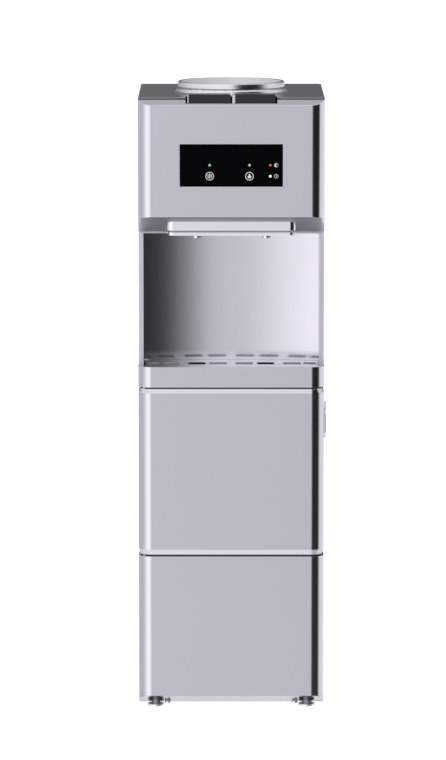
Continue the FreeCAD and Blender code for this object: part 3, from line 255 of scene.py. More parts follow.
def finish(name, colour, roughness=0.4, metallic=0.0, coat=0.0, grain=0.04, grain_size=0.0012,
           bump=0.02, stretch=(1, 1, 1), specular=0.5, sheen=0.0, patch=0.03, glow=None):
    """A procedural material: colour and roughness vary with fine grain and broad, faint patches."""
    made = bpy.data.materials.new(name)
    made.use_nodes = True
    tree = made.node_tree
    tree.nodes.clear()
    new, link = tree.nodes.new, tree.links.new
    out, shader = new("ShaderNodeOutputMaterial"), new("ShaderNodeBsdfPrincipled")
    link(shader.outputs["BSDF"], out.inputs["Surface"])
    place, scale = new("ShaderNodeTexCoord"), new("ShaderNodeMapping")
    set_inputs(scale, Scale=stretch)
    link(place.outputs["Object"], scale.inputs["Vector"])
    fine, broad = new("ShaderNodeTexNoise"), new("ShaderNodeTexNoise")
    set_inputs(fine, Scale=1.0 / grain_size, Detail=3.0)
    set_inputs(broad, Scale=PATCH_SCALE, Detail=2.0)
    link(scale.outputs["Vector"], fine.inputs["Vector"])
    link(place.outputs["Object"], broad.inputs["Vector"])
    ramp = new("ShaderNodeValToRGB")
    dark = [c * (1 - grain) for c in colour[:3]]
    light = [min(1.0, c * (1 + grain)) for c in colour[:3]]
    ramp.color_ramp.elements[0].position, ramp.color_ramp.elements[1].position = 0.3, 0.7
    ramp.color_ramp.elements[0].color = (*dark, 1)
    ramp.color_ramp.elements[1].color = (*light, 1)
    link(fine.outputs["Fac"], ramp.inputs["Fac"])
    wash = new("ShaderNodeMixRGB")
    wash.blend_type = "MULTIPLY"
    set_inputs(wash, Fac=1.0)
    cloud = new("ShaderNodeMapRange")
    set_inputs(cloud, To_Min=1 - patch, To_Max=1 + patch)
    link(broad.outputs["Fac"], cloud.inputs["Value"])
    link(ramp.outputs["Color"], wash.inputs["Color1"])
    link(cloud.outputs["Result"], wash.inputs["Color2"])
    link(wash.outputs["Color"], shader.inputs["Base Color"])
    rough = new("ShaderNodeMapRange")
    set_inputs(rough, To_Min=max(0.02, roughness - ROUGHNESS_SWING),
               To_Max=min(1.0, roughness + ROUGHNESS_SWING))
    link(fine.outputs["Fac"], rough.inputs["Value"])
    link(rough.outputs["Result"], shader.inputs["Roughness"])
    if bump:
        relief = new("ShaderNodeBump")
        set_inputs(relief, Strength=bump, Distance=RELIEF)
        link(fine.outputs["Fac"], relief.inputs["Height"])
        link(relief.outputs["Normal"], shader.inputs["Normal"])
    set_inputs(shader, Metallic=metallic, Coat_Weight=coat, Coat_Roughness=COAT_ROUGHNESS,
               Specular_IOR_Level=specular, Sheen_Weight=sheen)
    if glow:
        set_inputs(shader, Emission_Color=(*glow, 1), Emission_Strength=1.0)
    return made


def srgb(r, g, b):
    """A colour as read off a screen, turned into the linear numbers that shaders use."""
    return tuple((v / 255 / 12.92) if v <= 10 else ((v / 255 + 0.055) / 1.055) ** 2.4 for v in (r, g, b))


print("finish maker ready")

# %% [markdown]
# ## The finishes
# Each line gives a colour as it reads on a screen, then how rough and how metallic it is.  The silver
# paint counts as a metal, since its flakes mirror the studio much as a metal sheet would.

# %% The finishes of this machine
silver_paint = finish("silver_paint", srgb(189, 187, 197), 0.17, 1.0, grain=0.02, bump=0.0, patch=0.01)
side_paint = finish("side_paint", srgb(184, 182, 191), 0.34, 0.8, coat=0.1, bump=0.02, grain_size=0.0018)
bay_paint = finish("bay_paint", srgb(192, 190, 200), 0.13, 1.0, stretch=(1, 1, 0.08), grain=0.02, bump=0.0)
module_paint = finish("module_paint", srgb(216, 214, 223), 0.15, 1.0, grain=0.01, bump=0.0, patch=0.01)
tray_paint = finish("tray_paint", srgb(190, 188, 198), 0.25, 1.0, grain=0.02, bump=0.0)
grille_chrome = finish("grille_chrome", srgb(220, 219, 225), 0.2, 1.0, grain=0.02, bump=0.0)
# painted shade: a darker, rougher copy of the silver paint for the brow that lies under the head
brow_shade_paint = finish("brow_shade_paint", srgb(164, 163, 172), 0.42, 1.0, grain=0.03, bump=0.0)
# painted shade: a darker grey for the band that stands for the shade in the housing's groove
groove_shade_grey = finish("groove_shade_grey", srgb(150, 149, 156), 0.34, 1.0, grain=0.03, bump=0.0)
# painted shade: black stands for the shade in the deep drain openings, grey for the lighter shade in the
# other slots
drain_shade_black = finish("drain_shade_black", srgb(14, 14, 16), 0.6, 0.0, grain=0.1, bump=0.0, specular=0.1)
slot_shade_grey = finish("slot_shade_grey", srgb(132, 131, 136), 0.6, 0.0, grain=0.06, bump=0.0, specular=0.2)
graphite_gloss = finish("graphite_gloss", srgb(78, 77, 83), 0.2, 0.0, coat=0.3, grain=0.05, bump=0.0)
key_gloss = finish("key_gloss", srgb(20, 20, 26), 0.22, 0.0, grain=0.06, bump=0.0, specular=0.17)
key_chrome = finish("key_chrome", srgb(170, 170, 178), 0.2, 1.0, grain=0.02, bump=0.0)
glass_black = finish("glass_black", srgb(2, 2, 3), 0.04, 0.0, grain=0.1, bump=0.0, specular=0.02)
bright_ring = finish("bright_ring", srgb(199, 199, 202), 0.24, 1.0, grain=0.01, bump=0.0)
seat_plastic = finish("seat_plastic", srgb(196, 196, 200), 0.4, 0.0, bump=0.03)
nozzle_chrome = finish("nozzle_chrome", srgb(222, 222, 226), 0.12, 1.0, grain=0.01, bump=0.0)
white_liner = finish("white_liner", srgb(226, 226, 224), 0.5, 0.0, bump=0.08, grain_size=0.0008)
inner_white = finish("inner_white", srgb(218, 218, 214), 0.55, 0.0, bump=0.06)
grey_seal = finish("grey_seal", srgb(150, 150, 152), 0.75, 0.0, bump=0.1, sheen=0.1)
zinc_steel = finish("zinc_steel", srgb(176, 178, 182), 0.32, 1.0, grain=0.08, bump=0.04)
galvanised = finish("galvanised", srgb(170, 172, 175), 0.45, 0.85, grain=0.14, grain_size=0.006, bump=0.03)
stainless = finish("stainless", srgb(190, 190, 192), 0.28, 1.0, stretch=(1, 1, 0.05), grain=0.05)
foam_white = finish("foam_white", srgb(232, 232, 228), 0.95, 0.0, grain=0.08, grain_size=0.003, bump=0.5)
wool_grey = finish("wool_grey", srgb(214, 212, 205), 1.0, 0.0, grain=0.12, grain_size=0.002, bump=0.8,
                   sheen=0.4)
black_enamel = finish("black_enamel", srgb(24, 24, 26), 0.28, 0.0, coat=0.4, grain=0.12, bump=0.05)
copper_bare = finish("copper_bare", srgb(184, 110, 78), 0.34, 1.0, grain=0.12, grain_size=0.004, bump=0.04)
black_rubber = finish("black_rubber", srgb(30, 30, 31), 0.8, 0.0, bump=0.15)
foot_plastic = finish("foot_plastic", srgb(216, 216, 220), 0.2, 0.9, grain=0.02, bump=0.0)
trim_black = finish("trim_black", srgb(32, 32, 34), 0.45, 0.0, bump=0.08)
rocker_green = finish("rocker_green", srgb(38, 128, 62), 0.25, 0.0, coat=0.3)
rocker_red = finish("rocker_red", srgb(176, 34, 32), 0.25, 0.0, coat=0.3)
board_green = finish("board_green", srgb(24, 86, 46), 0.4, 0.0, grain=0.2, grain_size=0.003)
lamp_resin = finish("lamp_resin", srgb(210, 214, 208), 0.15, 0.0, coat=0.4)
hose_clear = finish("hose_clear", srgb(218, 220, 216), 0.3, 0.0, coat=0.2)
print_grey = finish("print_grey", srgb(200, 200, 202), 0.5, 0.0, grain=0.03, bump=0.0, specular=0.1)
lamp_colours = {"green": srgb(90, 156, 130), "soft_green": srgb(114, 152, 134), "red": srgb(146, 66, 62),
                "yellow": srgb(232, 236, 166)}
lamp_glow = {name: finish("lamp_" + name, colour, 0.3, 0.0, grain=0.05, bump=0.0,
                          glow=tuple(0.8 * c for c in colour)) for name, colour in lamp_colours.items()}
print("finishes", len(bpy.data.materials))

# %% [markdown]
# ## Dressing the solids
# Most solids already have the right shape.  Each gets its finish and a thin rounded edge, because
# real folded or moulded edges always catch a line of light.

# %% Which finish and edge each solid has
dress = {
    silver_paint: {"head_fascia": 0.5, "lower_panel": 0.5, "tray_fascia": 0.6,
                   "base_pan": 0.5, "door_pull": 0.5},
    side_paint: {"side_panel_right": 0.25, "side_panel_left": 0.25},
    bay_paint: {"niche_liner": 0.3},
    tray_paint: {"drip_tray": 0.3},
    grille_chrome: {"drip_grille": 0.0},
    seat_plastic: {"bottle_probe": 0.3},
    white_liner: {"cabinet_liner": 0.5, "door_inner": 0.6, "cabinet_shelf": 0.5},
    inner_white: {"taps": 0.3, "key_carrier": 0.3, "cold_push_rod": 0.2, "hot_push_rod": 0.2},
    grey_seal: {"door_gasket": 0.4},
    zinc_steel: {"compressor_bolts": 0.3, "door_hinge_pins": 0.3},
    galvanised: {"cabinet_deck": 0.2, "hot_tank_deck": 0.2, "cold_tank_deck": 0.2,
                 "condenser_brackets": 0.2, "rear_panel": 0.2},
    stainless: {"cold_tank": 0.2, "hot_tank": 0.2, "evaporator_sleeve": 0.2},
    foam_white: {"cold_tank_jacket": 0.8},
    wool_grey: {"hot_tank_jacket": 1.0},
    black_rubber: {"compressor_grommets": 0.5},
    trim_black: {"relay_box": 0.6, "switch_frames": 0.3},
    rocker_green: {"cold_rocker": 0.2},
    rocker_red: {"hot_rocker": 0.2},
    board_green: {"control_board": 0.0},
    lamp_resin: {"indicator_leds": 0.2},
    hose_clear: {"water_hoses": 0.0},
}


PIERCED = {"base_pan", "cabinet_liner", "cabinet_shelf", "cold_tank_jacket", "compressor_grommets",
           "condenser_brackets", "door_gasket", "door_pull", "drip_grille", "key_carrier", "rear_panel",
           "switch_frames"}


def dress_node(name, made, edge):
    """Gives a CAD solid its finish and its edge, and leaves its mesh alone."""
    obj = nodes[name]
    obj.data.materials.clear()
    obj.data.materials.append(made)
    for polygon in obj.data.polygons:
        polygon.material_index = 0
    round_off(obj, edge * MM, merge_flats=name not in PIERCED)


for made, group in dress.items():
    for name, edge in group.items():
        dress_node(name, made, edge)
print("dressed", sum(len(group) for group in dress.values()), "of", len(nodes))

# %% [markdown]
# ## The door's skin
# The real door is one pressed sheet: flat in front, round at both corners, and leaning back in a
# flat band at the top and at the foot, where it catches a pale line.  It is lofted from one plan
# outline that is drawn inwards along each band, and a Solidify modifier gives it its thickness.

# %% Door skin
door_low, door_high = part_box("door_outer")[0].z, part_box("door_outer")[1].z
door_back = (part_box("door_outer")[1].y - FRONT) / MM
pull_low, pull_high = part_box("door_pull")[0].z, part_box("door_pull")[1].z
FOOT_BAND, HEAD_BAND, LEAN, SHEET = 9.6, 8.4, 0.3, 2.4


def door_ring(inset, z):
    """The door's outline at one height, drawn inwards."""
    return [Vector((x * MM, y_at(depth), z)) for x, depth in front_path(inset, door_back, extra=(26, 40))]


def door_skin():
    """The pressed sheet with the opening for the pull's cup in its right return."""
    bm = bmesh.new()
    foot = [(FOOT_BAND * LEAN + 1.2, 0), (FOOT_BAND * LEAN, 1.0), (0.3, FOOT_BAND - 0.8),
            (0, FOOT_BAND + 0.6)]
    head = [(0, HEAD_BAND + 0.6), (0.3, HEAD_BAND - 0.8), (HEAD_BAND * LEAN, 1.5),
            (HEAD_BAND * LEAN + 1.5, 0.6)]
    rings = [door_ring(inset, door_low + rise * MM) for inset, rise in foot]
    rings += [door_ring(0, z) for z in (pull_low + 7 * MM, pull_high - 17 * MM)]
    rings += [door_ring(inset, door_high - drop * MM) for inset, drop in head]
    loft(bm, rings, caps=(0, -1))
    cup = [f for f in bm.faces if all(v.co.x > HALF - 1e-6 and v.co.z > pull_low and v.co.z < pull_high
                                      and y_at(25) < v.co.y < y_at(41) for v in f.verts)]
    bmesh.ops.delete(bm, geom=cup, context="FACES")
    return bm


skin = piece("door_skin", door_skin(), silver_paint, "door", ("door_outer",))
thicken(skin, SHEET)
print("door skin from", round(door_low, 4), "to", round(door_high, 4))

# %% [markdown]
# ## Hinge sleeves
# The door turns on two pins, each in a short plastic sleeve.  A sleeve is a turned tube with broken
# edges, a little shorter than its seat, so that the skin never rubs on it.

# %% Hinge sleeves
bush_low, bush_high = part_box("door_hinge_bushes")
pivot = (bush_low + bush_high) / 2
bush_r, SLEEVE_LONG = (bush_high.x - bush_low.x) / 2 / MM, 12
sleeves = bmesh.new()
for low, high in ((bush_low.z / MM + 3.4, bush_low.z / MM + SLEEVE_LONG),
                  (bush_high.z / MM - SLEEVE_LONG, bush_high.z / MM - 3.0)):
    profile = [(bush_r - 1.6, low), (bush_r - 0.5, low), (bush_r, low + 0.5), (bush_r, high - 0.5),
               (bush_r - 0.5, high), (bush_r - 1.6, high)]
    turned(sleeves, profile + profile[:1], pivot.x, pivot.y, 32)
piece("hinge_sleeves", sleeves, inner_white, "door", ("door_hinge_bushes",))
print("hinge sleeves, radius", round(bush_r, 2))

# %% [markdown]
# ## Top cover
# The cover is a thin dark moulding.  It is slightly crowned, and has a rounded rim that hangs over
# the head's bevel as a fine lip.  Its outline has a notch and its middle a hole, so the surface is a
# Delaunay net through rings of points that follow both.

# %% Top cover
from mathutils.geometry import delaunay_2d_cdt

cover_box, collar_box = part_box("top_cover"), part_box("bottle_collar")
COLLAR_DEPTH = (COLLAR.y - FRONT) / MM
COVER_BACK = (cover_box[1].y - FRONT) / MM
COVER_LOW = cover_box[0].z
RING_SEAT = collar_box[0].z
LIP_DEPTH, NOTCH_HALF, NOTCH_BACK, RIM = 18.8, 75.8, 58.0, 0.7
COVE_OUT, HOLE, FLARE = 104.0, 88.6, 98.6


def crown(depth, lip_drop=0.7, rise=2.5):
    """The cover's height, rising a little from its front lip to its back."""
    return COVER_TOP + (-lip_drop + rise * (depth - LIP_DEPTH) / (COVER_BACK - LIP_DEPTH)) * MM


def cover_outline():
    """The cover's plan, anticlockwise seen from above, as (x, depth) points."""
    half, back = HALF / MM, COVER_BACK
    right = [(NOTCH_HALF, NOTCH_BACK), (NOTCH_HALF, LIP_DEPTH), (half - 1, LIP_DEPTH), (half, LIP_DEPTH + 1),
             (half, 24.8), (half, 25.2)]
    right += arc(half - 8, back - 8, 8, 0, 90, 6)
    left = [(-x, depth) for x, depth in reversed(right)]
    points = right + left
    filled = []
    for (x0, d0), (x1, d1) in zip(points, points[1:] + points[:1]):
        steps = max(1, int(math.hypot(x1 - x0, d1 - d0) / 14))
        filled += [(x0 + (x1 - x0) * i / steps, d0 + (d1 - d0) * i / steps) for i in range(steps)]
    return filled


print("cover outline has", len(cover_outline()), "points")

# %% [markdown]
# ## Tools for outlines
# An outline drawn inwards gives the rounded rim its rings, and a test for inside and outside drops
# the faces that the net lays over the notch.

# %% Tools for outlines
def drawn_in(points, distance):
    """A closed outline moved inwards by a distance, with mitred corners."""
    moved = []
    for before, here, after in zip(points[-1:] + points, points, points[1:] + points[:1]):
        a = Vector((here[0] - before[0], here[1] - before[1])).normalized()
        b = Vector((after[0] - here[0], after[1] - here[1])).normalized()
        normal_a, normal_b = Vector((-a.y, a.x)), Vector((-b.y, b.x))
        mitre = (normal_a + normal_b) / max(0.3, 1 + normal_a.dot(normal_b))
        moved.append((here[0] + mitre.x * distance, here[1] + mitre.y * distance))
    return moved


def inside(x, depth, outline):
    """Whether a point lies in a closed outline."""
    crossings = 0
    for (x0, d0), (x1, d1) in zip(outline, outline[1:] + outline[:1]):
        if (d0 > depth) != (d1 > depth) and x < x0 + (depth - d0) * (x1 - x0) / (d1 - d0):
            crossings += 1
    return crossings % 2 == 1


print("outline tools ready")

# %% [markdown]
# ## Cover net
# The net starts from chains of edges: the rim's rings, and the rings round the hole.  Loose points
# between them keep its faces small, so that the crown bends evenly.

# %% Cover net
def cover_net():
    """The crowned top with its hole, rounded rim and skirt."""
    outline, places = cover_outline(), []
    turns = [math.radians(v) for v in (0, 30, 60, 90)]
    rims = [(RIM * (1 - math.cos(turn)), RIM * (1 - math.sin(turn))) for turn in turns]
    chains = []

    def chain(points, heights):
        first = len(places)
        places.extend((x, depth, z) for (x, depth), z in zip(points, heights))
        chains.extend((first + i, first + (i + 1) % len(points)) for i in range(len(points)))

    for inward, drop in rims:
        ring = drawn_in(outline, inward)
        chain(ring, [crown(depth) - drop * MM for _, depth in ring])
    for radius in (HOLE, FLARE - 2, COVE_OUT + 1):
        ring = [(x, COLLAR_DEPTH + depth) for x, depth in circle(radius, 96)]
        chain(ring, [crown(depth) for _, depth in ring])
    inner = drawn_in(outline, 6)
    for column in range(-10, 11):
        for row in range(0, 24):
            x, depth = column * 14.6, 30 + row * 13.3
            if math.hypot(x, depth - COLLAR_DEPTH) > COVE_OUT + 6 and inside(x, depth, inner):
                places.append((x, depth, crown(depth)))
    flat = [Vector((x, depth)) for x, depth, _ in places]
    points, _, faces, origins, _, _ = delaunay_2d_cdt(flat, chains, [], 0, 1e-5)
    bm = bmesh.new()
    verts = [bm.verts.new((point.x * MM, y_at(point.y), places[origin[0]][2]))
             for point, origin in zip(points, origins)]
    for face in faces:
        x = sum(points[i].x for i in face) / len(face)
        depth = sum(points[i].y for i in face) / len(face)
        if inside(x, depth, outline) and math.hypot(x, depth - COLLAR_DEPTH) > HOLE:
            bm.faces.new([verts[i] for i in face])
    by_place = {origin: vert for vert, sources in zip(verts, origins) for origin in sources}
    rim = [by_place[i] for i in range(len(outline))]
    skirt = []
    for vert, (x, depth) in zip(rim, outline):
        outer = depth > 25 and (abs(x) > HALF / MM - 9 or depth > COVER_BACK - 9)
        skirt.append(bm.verts.new((vert.co.x, vert.co.y, COVER_LOW if outer else crown(depth) - 2.5 * MM)))
    for i in range(len(rim)):
        j = (i + 1) % len(rim)
        bm.faces.new((rim[i], rim[j], skirt[j], skirt[i]))
    return bm


cover = piece("cover_moulding", cover_net(), graphite_gloss, "cabinet", ("top_cover",), merge_flats=False)
thicken(cover, 1.8, even=False)
print("cover faces", len(cover.data.polygons))

# %% [markdown]
# ## Bottle ring and seat
# The bright ring with its flared foot, and the pale funnel that lines it and carries the bottle's
# neck, are turned parts, so each is a profile spun round the bottle's axis, with more sides than a
# solid from the frame would have.

# %% Turned parts of the top
axis = (COLLAR.x, COLLAR.y, 0)
seat_z, ring_top = RING_SEAT / MM, collar_box[1].z / MM
flare_low = crown(COLLAR_DEPTH - FLARE) / MM + 0.3
FOOT_R = 5.6
ring_profile = ([(84.6, seat_z + 0.1), (88, seat_z + 0.1), (88, flare_low - 0.4), (FLARE, flare_low - 0.4)]
                + arc(FLARE, flare_low + FOOT_R, FOOT_R, 270, 192, 7)
                + [(92.0, seat_z + 0.6), (89.4, seat_z + 0.7), (89.3, seat_z + 1.3), (90.2, seat_z + 1.6),
                   (90.5, seat_z + 2.6)]
                + arc(87.2, ring_top - 2.4, 2.4, 8, 90) + arc(86.4, ring_top - 1.8, 1.8, 90, 180))
ring = lathe("bottle_ring", ring_profile, axis, bright_ring, "cabinet", ("bottle_collar",), 128)
funnel_profile = [(80.5, seat_z + 0.6), (82.6, seat_z + 2.5), (83, ring_top - 1.6), (83.4, ring_top - 0.9),
                  (84.5, ring_top - 0.9), (84.5, seat_z), (88, seat_z), (88, seat_z - 2.5),
                  (83.5, seat_z - 2.5), (32.5, seat_z - 36.5), (31.5, seat_z - 61.5), (17, seat_z - 61.5),
                  (17, seat_z - 55.5), (29.5, seat_z - 55.5), (29.5, seat_z - 35.5), (30.2, seat_z - 33.9),
                  (31.6, seat_z - 32.9)]
funnel = lathe("neck_funnel", funnel_profile, axis, seat_plastic, "cabinet", ("bottle_seat",), 96)
print("ring and funnel turned")

# %% [markdown]
# ## Turned feet, plugs and spouts
# Small round parts show their facets at once, so they are turned as well.  Each group is one piece,
# as the frame has it.

# %% Feet, skirt plugs and spouts
def turned_group(name, profile, centres, made, stands_for, sides=40):
    """Several copies of one turned form in one piece."""
    bm = bmesh.new()
    for x, y in centres:
        turned(bm, profile, x, y, sides, () if profile[0] == profile[-1] else (0, -1))
    piece(name, bm, made, "cabinet", stands_for)


feet_box, plug_box, spout_box = (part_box(node) for node in ("feet", "skirt_bumpers", "nozzles"))
PAD_R, SPOUT_R, foot_high = 14, 7, feet_box[1].z / MM
turned_group("level_feet", [(11.8, 0), (13.2, 0.35), (PAD_R, 1.3), (PAD_R, 3.2), (13.4, 4.1), (12, 4.5),
                            (7, 4.5), (7, foot_high)],
             [(x, y) for x in (feet_box[0].x + PAD_R * MM, feet_box[1].x - PAD_R * MM)
              for y in (feet_box[0].y + PAD_R * MM, feet_box[1].y - PAD_R * MM)],
             foot_plastic, ("feet",))
plug_low, plug_high = plug_box[0].z / MM, plug_box[1].z / MM
plug_r = (plug_box[1].y - plug_box[0].y) / MM / 2
turned_group("skirt_plugs", [(plug_r * 0.6, plug_low), (plug_r * 0.9, plug_low + 0.3),
                             (plug_r, plug_low + 1.2), (plug_r, plug_high)],
             [(x, plug_box[0].y + plug_r * MM) for x in (plug_box[0].x + plug_r * MM,
                                                         plug_box[1].x - plug_r * MM)],
             foot_plastic, ("skirt_bumpers",), 32)
spout_low, spout_high = spout_box[0].z / MM, spout_box[1].z / MM
turned_group("spout_tips", [(4.5, spout_low), (6.2, spout_low), (SPOUT_R, spout_low + 0.8),
                            (SPOUT_R, spout_high), (4.5, spout_high), (4.5, spout_low)],
             [(x, (spout_box[0].y + spout_box[1].y) / 2) for x in (spout_box[0].x + SPOUT_R * MM,
                                                                   spout_box[1].x - SPOUT_R * MM)],
             nozzle_chrome, ("nozzles",))
print("foot", round(foot_high, 1), "high, plug radius", round(plug_r, 2))

# %% [markdown]
# ## Tap housing
# The pale housing under the head has round ends, a groove near its foot that is darkened by painted
# shade, and below that a slightly smaller lip that rolls under.  Its plan outline is carried up and down a
# side profile.

# %% Tap housing
housing_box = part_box("nozzle_module")
HOUSE_HALF, HOUSE_FRONT = housing_box[1].x / MM, (housing_box[0].y - FRONT) / MM
HOUSE_LOW, HOUSE_TOP = housing_box[0].z / MM, housing_box[1].z / MM
BROW_RISE, BROW_DEPTH, BROW_EDGE = 28.0, 34.0, BAY_TOP / MM


def brow_height(depth):
    """The height of the sloped brow at a depth, in millimetres."""
    return BROW_EDGE + BROW_RISE * (1 - depth / BROW_DEPTH)


def housing_ring(inset, z, back, corner=11.0, steps=10):
    """The housing's plan at one height, drawn inwards: an open outline from back to back."""
    half, radius = HOUSE_HALF - inset, corner - inset
    left = arc(radius - half, HOUSE_FRONT + inset + radius, radius, 180, 270, steps)
    right = arc(half - radius, HOUSE_FRONT + inset + radius, radius, 270, 360, steps)
    plan = [(-half, back)] + left + right + [(half, back)]
    return [at(x, depth, z) for x, depth in plan]


print("brow drops", BROW_RISE, "mm over", BROW_DEPTH, "mm")

# %% [markdown]
# ## Housing hull
# The levels of the side view, from the groove down to the lip, carry the outline.  The hull's upper
# edge follows the brow, so its first ring is bent to the slope.

# %% Housing hull
HOUSE_BACK, LIP_RISE, LIP_INSET = (housing_box[1].y - FRONT) / MM, 5.4, 3.0
lip_z = HOUSE_LOW + LIP_RISE
levels = [(0, lip_z + 3.9), (0.25, lip_z + 3.4), (LIP_INSET - 0.2, lip_z + 0.5), (LIP_INSET, lip_z - 0.1),
          (LIP_INSET, HOUSE_LOW + 1.4), (LIP_INSET + 0.4, HOUSE_LOW + 0.5), (LIP_INSET + 1.4, HOUSE_LOW)]
bm = bmesh.new()
HOUSE_END = BROW_DEPTH - 0.4
top_ring = housing_ring(0, 0, HOUSE_END)
for point in top_ring:
    point.z = (brow_height((point.y - FRONT) / MM) - 0.15) * MM
rings = [top_ring] + [housing_ring(inset, z, HOUSE_END) for inset, z in levels]
loft(bm, rings, caps=(-1,))
hull = piece("tap_housing", bm, module_paint, "cabinet", ("nozzle_module",), 0.35 * MM, 25)
thicken(hull, 2.0)
print("hull from", round(HOUSE_LOW, 1), "up to the brow")

# %% [markdown]
# ## Groove and floor
# A narrow band of darker grey lines the groove as painted shade, and a thin plate closes the housing from
# below.

# %% Groove and floor
# the groove's band is painted shade: a darker grey strip that lines the groove
groove_shade = bmesh.new()
groove_shade_side = [(0.1, lip_z + 3.4), (0.0, lip_z + 3.2), (LIP_INSET - 0.4, lip_z + 0.3),
             (LIP_INSET - 0.1, lip_z + 0.1)]
loft(groove_shade, [housing_ring(inset, z, BROW_DEPTH + 1.5) for inset, z in groove_shade_side])
piece("tap_housing_groove_shade", groove_shade, groove_shade_grey, "cabinet")
under = bmesh.new()
sill_plate = [(-HOUSE_HALF + 5, BROW_DEPTH - 1), (HOUSE_HALF - 5, BROW_DEPTH - 1),
              (HOUSE_HALF - 5, HOUSE_BACK), (5 - HOUSE_HALF, HOUSE_BACK)]
rings = [[at(x, depth, z) for x, depth in sill_plate] for z in (HOUSE_LOW, HOUSE_LOW + 1.9)]
loft(under, rings, closed=True, caps=(0, 1))
piece("tap_housing_floor", under, module_paint, "cabinet", (), 0.3 * MM)
print("housing", round(HOUSE_LOW, 1), "to", round(HOUSE_TOP, 1), "brow edge", round(BROW_EDGE, 1))

# %% [markdown]
# ## Brow
# Under the head a sloped brow leads back into the bay.  Its skin is a satin version of the paint in a
# darker grey that is painted shade, and at its inner edge it turns under in a small bead that meets the bay's
# ceiling.

# %% Brow skin
def brow_point(depth):
    """A point of the skin's side view, a hair under the solid's slope."""
    return depth, brow_height(depth) - 0.12


brow_side = [brow_point(1.2), brow_point(BROW_DEPTH - 1.6)]
brow_side += arc(BROW_DEPTH + 1.6, BROW_EDGE + 0.8, 3.5, 205, 270, 5)
brow_side += [(BROW_DEPTH + 2.4, BROW_EDGE - 2.7)]


def brow_skin(bm, spans, side):
    """The sloped skin between pairs of places across, from its side view."""
    for span in spans:
        loft(bm, [[at(x, depth, z) for depth, z in side] for x in span])


bm = bmesh.new()
END = HALF / MM - 5.0
brow_skin(bm, ((-END, -HOUSE_HALF + 0.3), (HOUSE_HALF - 0.3, END)), brow_side)
brow_skin(bm, ((-HOUSE_HALF + 0.3, HOUSE_HALF - 0.3),), [brow_side[0], brow_point(HOUSE_FRONT + 1)])
piece("brow_skin", bm, brow_shade_paint, "cabinet", (), 0.0)
print("brow skin", len(brow_side), "points")

# %% [markdown]
# ## Slot sleeves
# The grille's slots are lined.  Black sleeves paint the shade of the two deep openings under the spouts,
# where the water goes, and grey sleeves paint the lighter shade in the rest.

# %% Slot sleeves
SLOT_ROWS, SLOT_DEEP, SLOT_CUT = (46.0, 58.0), 9.5, 2.5
grille_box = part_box("drip_grille")
WELL_HALF = grille_box[1].x / MM + 0.8
SLOTS = ((21.5, 27.0, False), (57.5, 27.0, True), (101.5, 27.0, False), (WELL_HALF - 14.5, 19.0, False))
SLEEVE = 0.5


def slot_outline(x, depth, length, shrink):
    """An eight-sided slot outline, drawn inwards."""
    a, b, cut = length / 2 - shrink, SLOT_DEEP / 2 - shrink, SLOT_CUT - shrink * 0.4
    corners = [(a, b - cut), (a - cut, b), (cut - a, b), (-a, b - cut), (-a, cut - b), (cut - a, -b),
               (a - cut, -b), (a, cut - b)]
    return [(x + dx, depth + dd) for dx, dd in corners]


SLEEVE_SIDE = ((0.02, -0.2), (-1.2, 0.05), (-0.9, 0.2), (SLEEVE, 0.1), (SLEEVE, -2.4), (0.02, -2.4))
# painted shade: each sleeve's colour stands for the shade inside its slot
for name, drained, made in (("spout_drain_shade_sleeves", True, drain_shade_black), ("slot_shade_sleeves", False, slot_shade_grey)):
    sleeves = bmesh.new()
    for row in SLOT_ROWS:
        for place, length, dark in SLOTS:
            for x in (-place, place) if dark == drained else ():
                rings = [[Vector((across * MM, y_at(depth), SILL + rise * MM))
                          for across, depth in slot_outline(x, row, length, shrink)]
                         for shrink, rise in SLEEVE_SIDE]
                loft(sleeves, rings + rings[:1], closed=True)
    piece(name, sleeves, made, "grille")
print("sleeves in", len(SLOT_ROWS) * len(SLOTS) * 2, "slots")

# %% [markdown]
# ## Display
# The display is one sheet of black glass let into the head.  It lies a hair behind the painted face,
# so that the lamps and the printed signs on it never stand proud of the machine.

# %% Display glass
glass_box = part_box("display_window")


def rounded_panel(bm, centre, width, height, radius, front, back, steps=5):
    """A plate with round corners that faces forward, between two depths in millimetres."""
    corners = [(width / 2 - radius, height / 2 - radius, 0), (radius - width / 2, height / 2 - radius, 90),
               (radius - width / 2, radius - height / 2, 180), (width / 2 - radius, radius - height / 2, 270)]
    ring = [point for cx, cz, start in corners for point in arc(cx, cz, radius, start, start + 90, steps)]
    rings = [[Vector((centre.x + x * MM, y_at(depth), centre.z + z * MM)) for x, z in ring]
             for depth in (front, back)]
    loft(bm, rings, closed=True, caps=(0, 1))


bm = bmesh.new()
glass_size = glass_box[1] - glass_box[0]
glass_back = (glass_box[1].y - FRONT) / MM
DISPLAY = Vector((0, 0, (glass_box[0].z + glass_box[1].z) / 2))
GLASS_WIDE, GLASS_TALL, GLASS_FRONT = 170.6, 70.4, 0.35
rounded_panel(bm, DISPLAY, GLASS_WIDE, GLASS_TALL, 2.0, GLASS_FRONT, glass_back)
piece("display_glass", bm, glass_black, "cabinet", ("display_window",), 0.2 * MM)
print("glass", [round(v / MM, 1) for v in glass_size])

# %% [markdown]
# ## Lamps and signs on the glass
# Four small lamps and four plain signs are printed on the glass: a snow crystal and a flame, each in
# a ring, a half-filled disc, and a ring with a bar.  Each stroke is a thin raised print, because
# geometry keeps its edge at any distance, and every sign is a common one.

# %% Printing tools
PRINT_BACK, PRINT_FRONT, LAMP_FRONT = 0.40, 0.28, 0.12


def printed(bm, outline, front=PRINT_FRONT):
    """A flat print on the glass, from an outline of (x, z) points in millimetres about the display."""
    rings = [[Vector((x * MM, y_at(depth), DISPLAY.z + z * MM)) for x, z in outline]
             for depth in (front, PRINT_BACK)]
    loft(bm, rings, closed=True, caps=(0,))


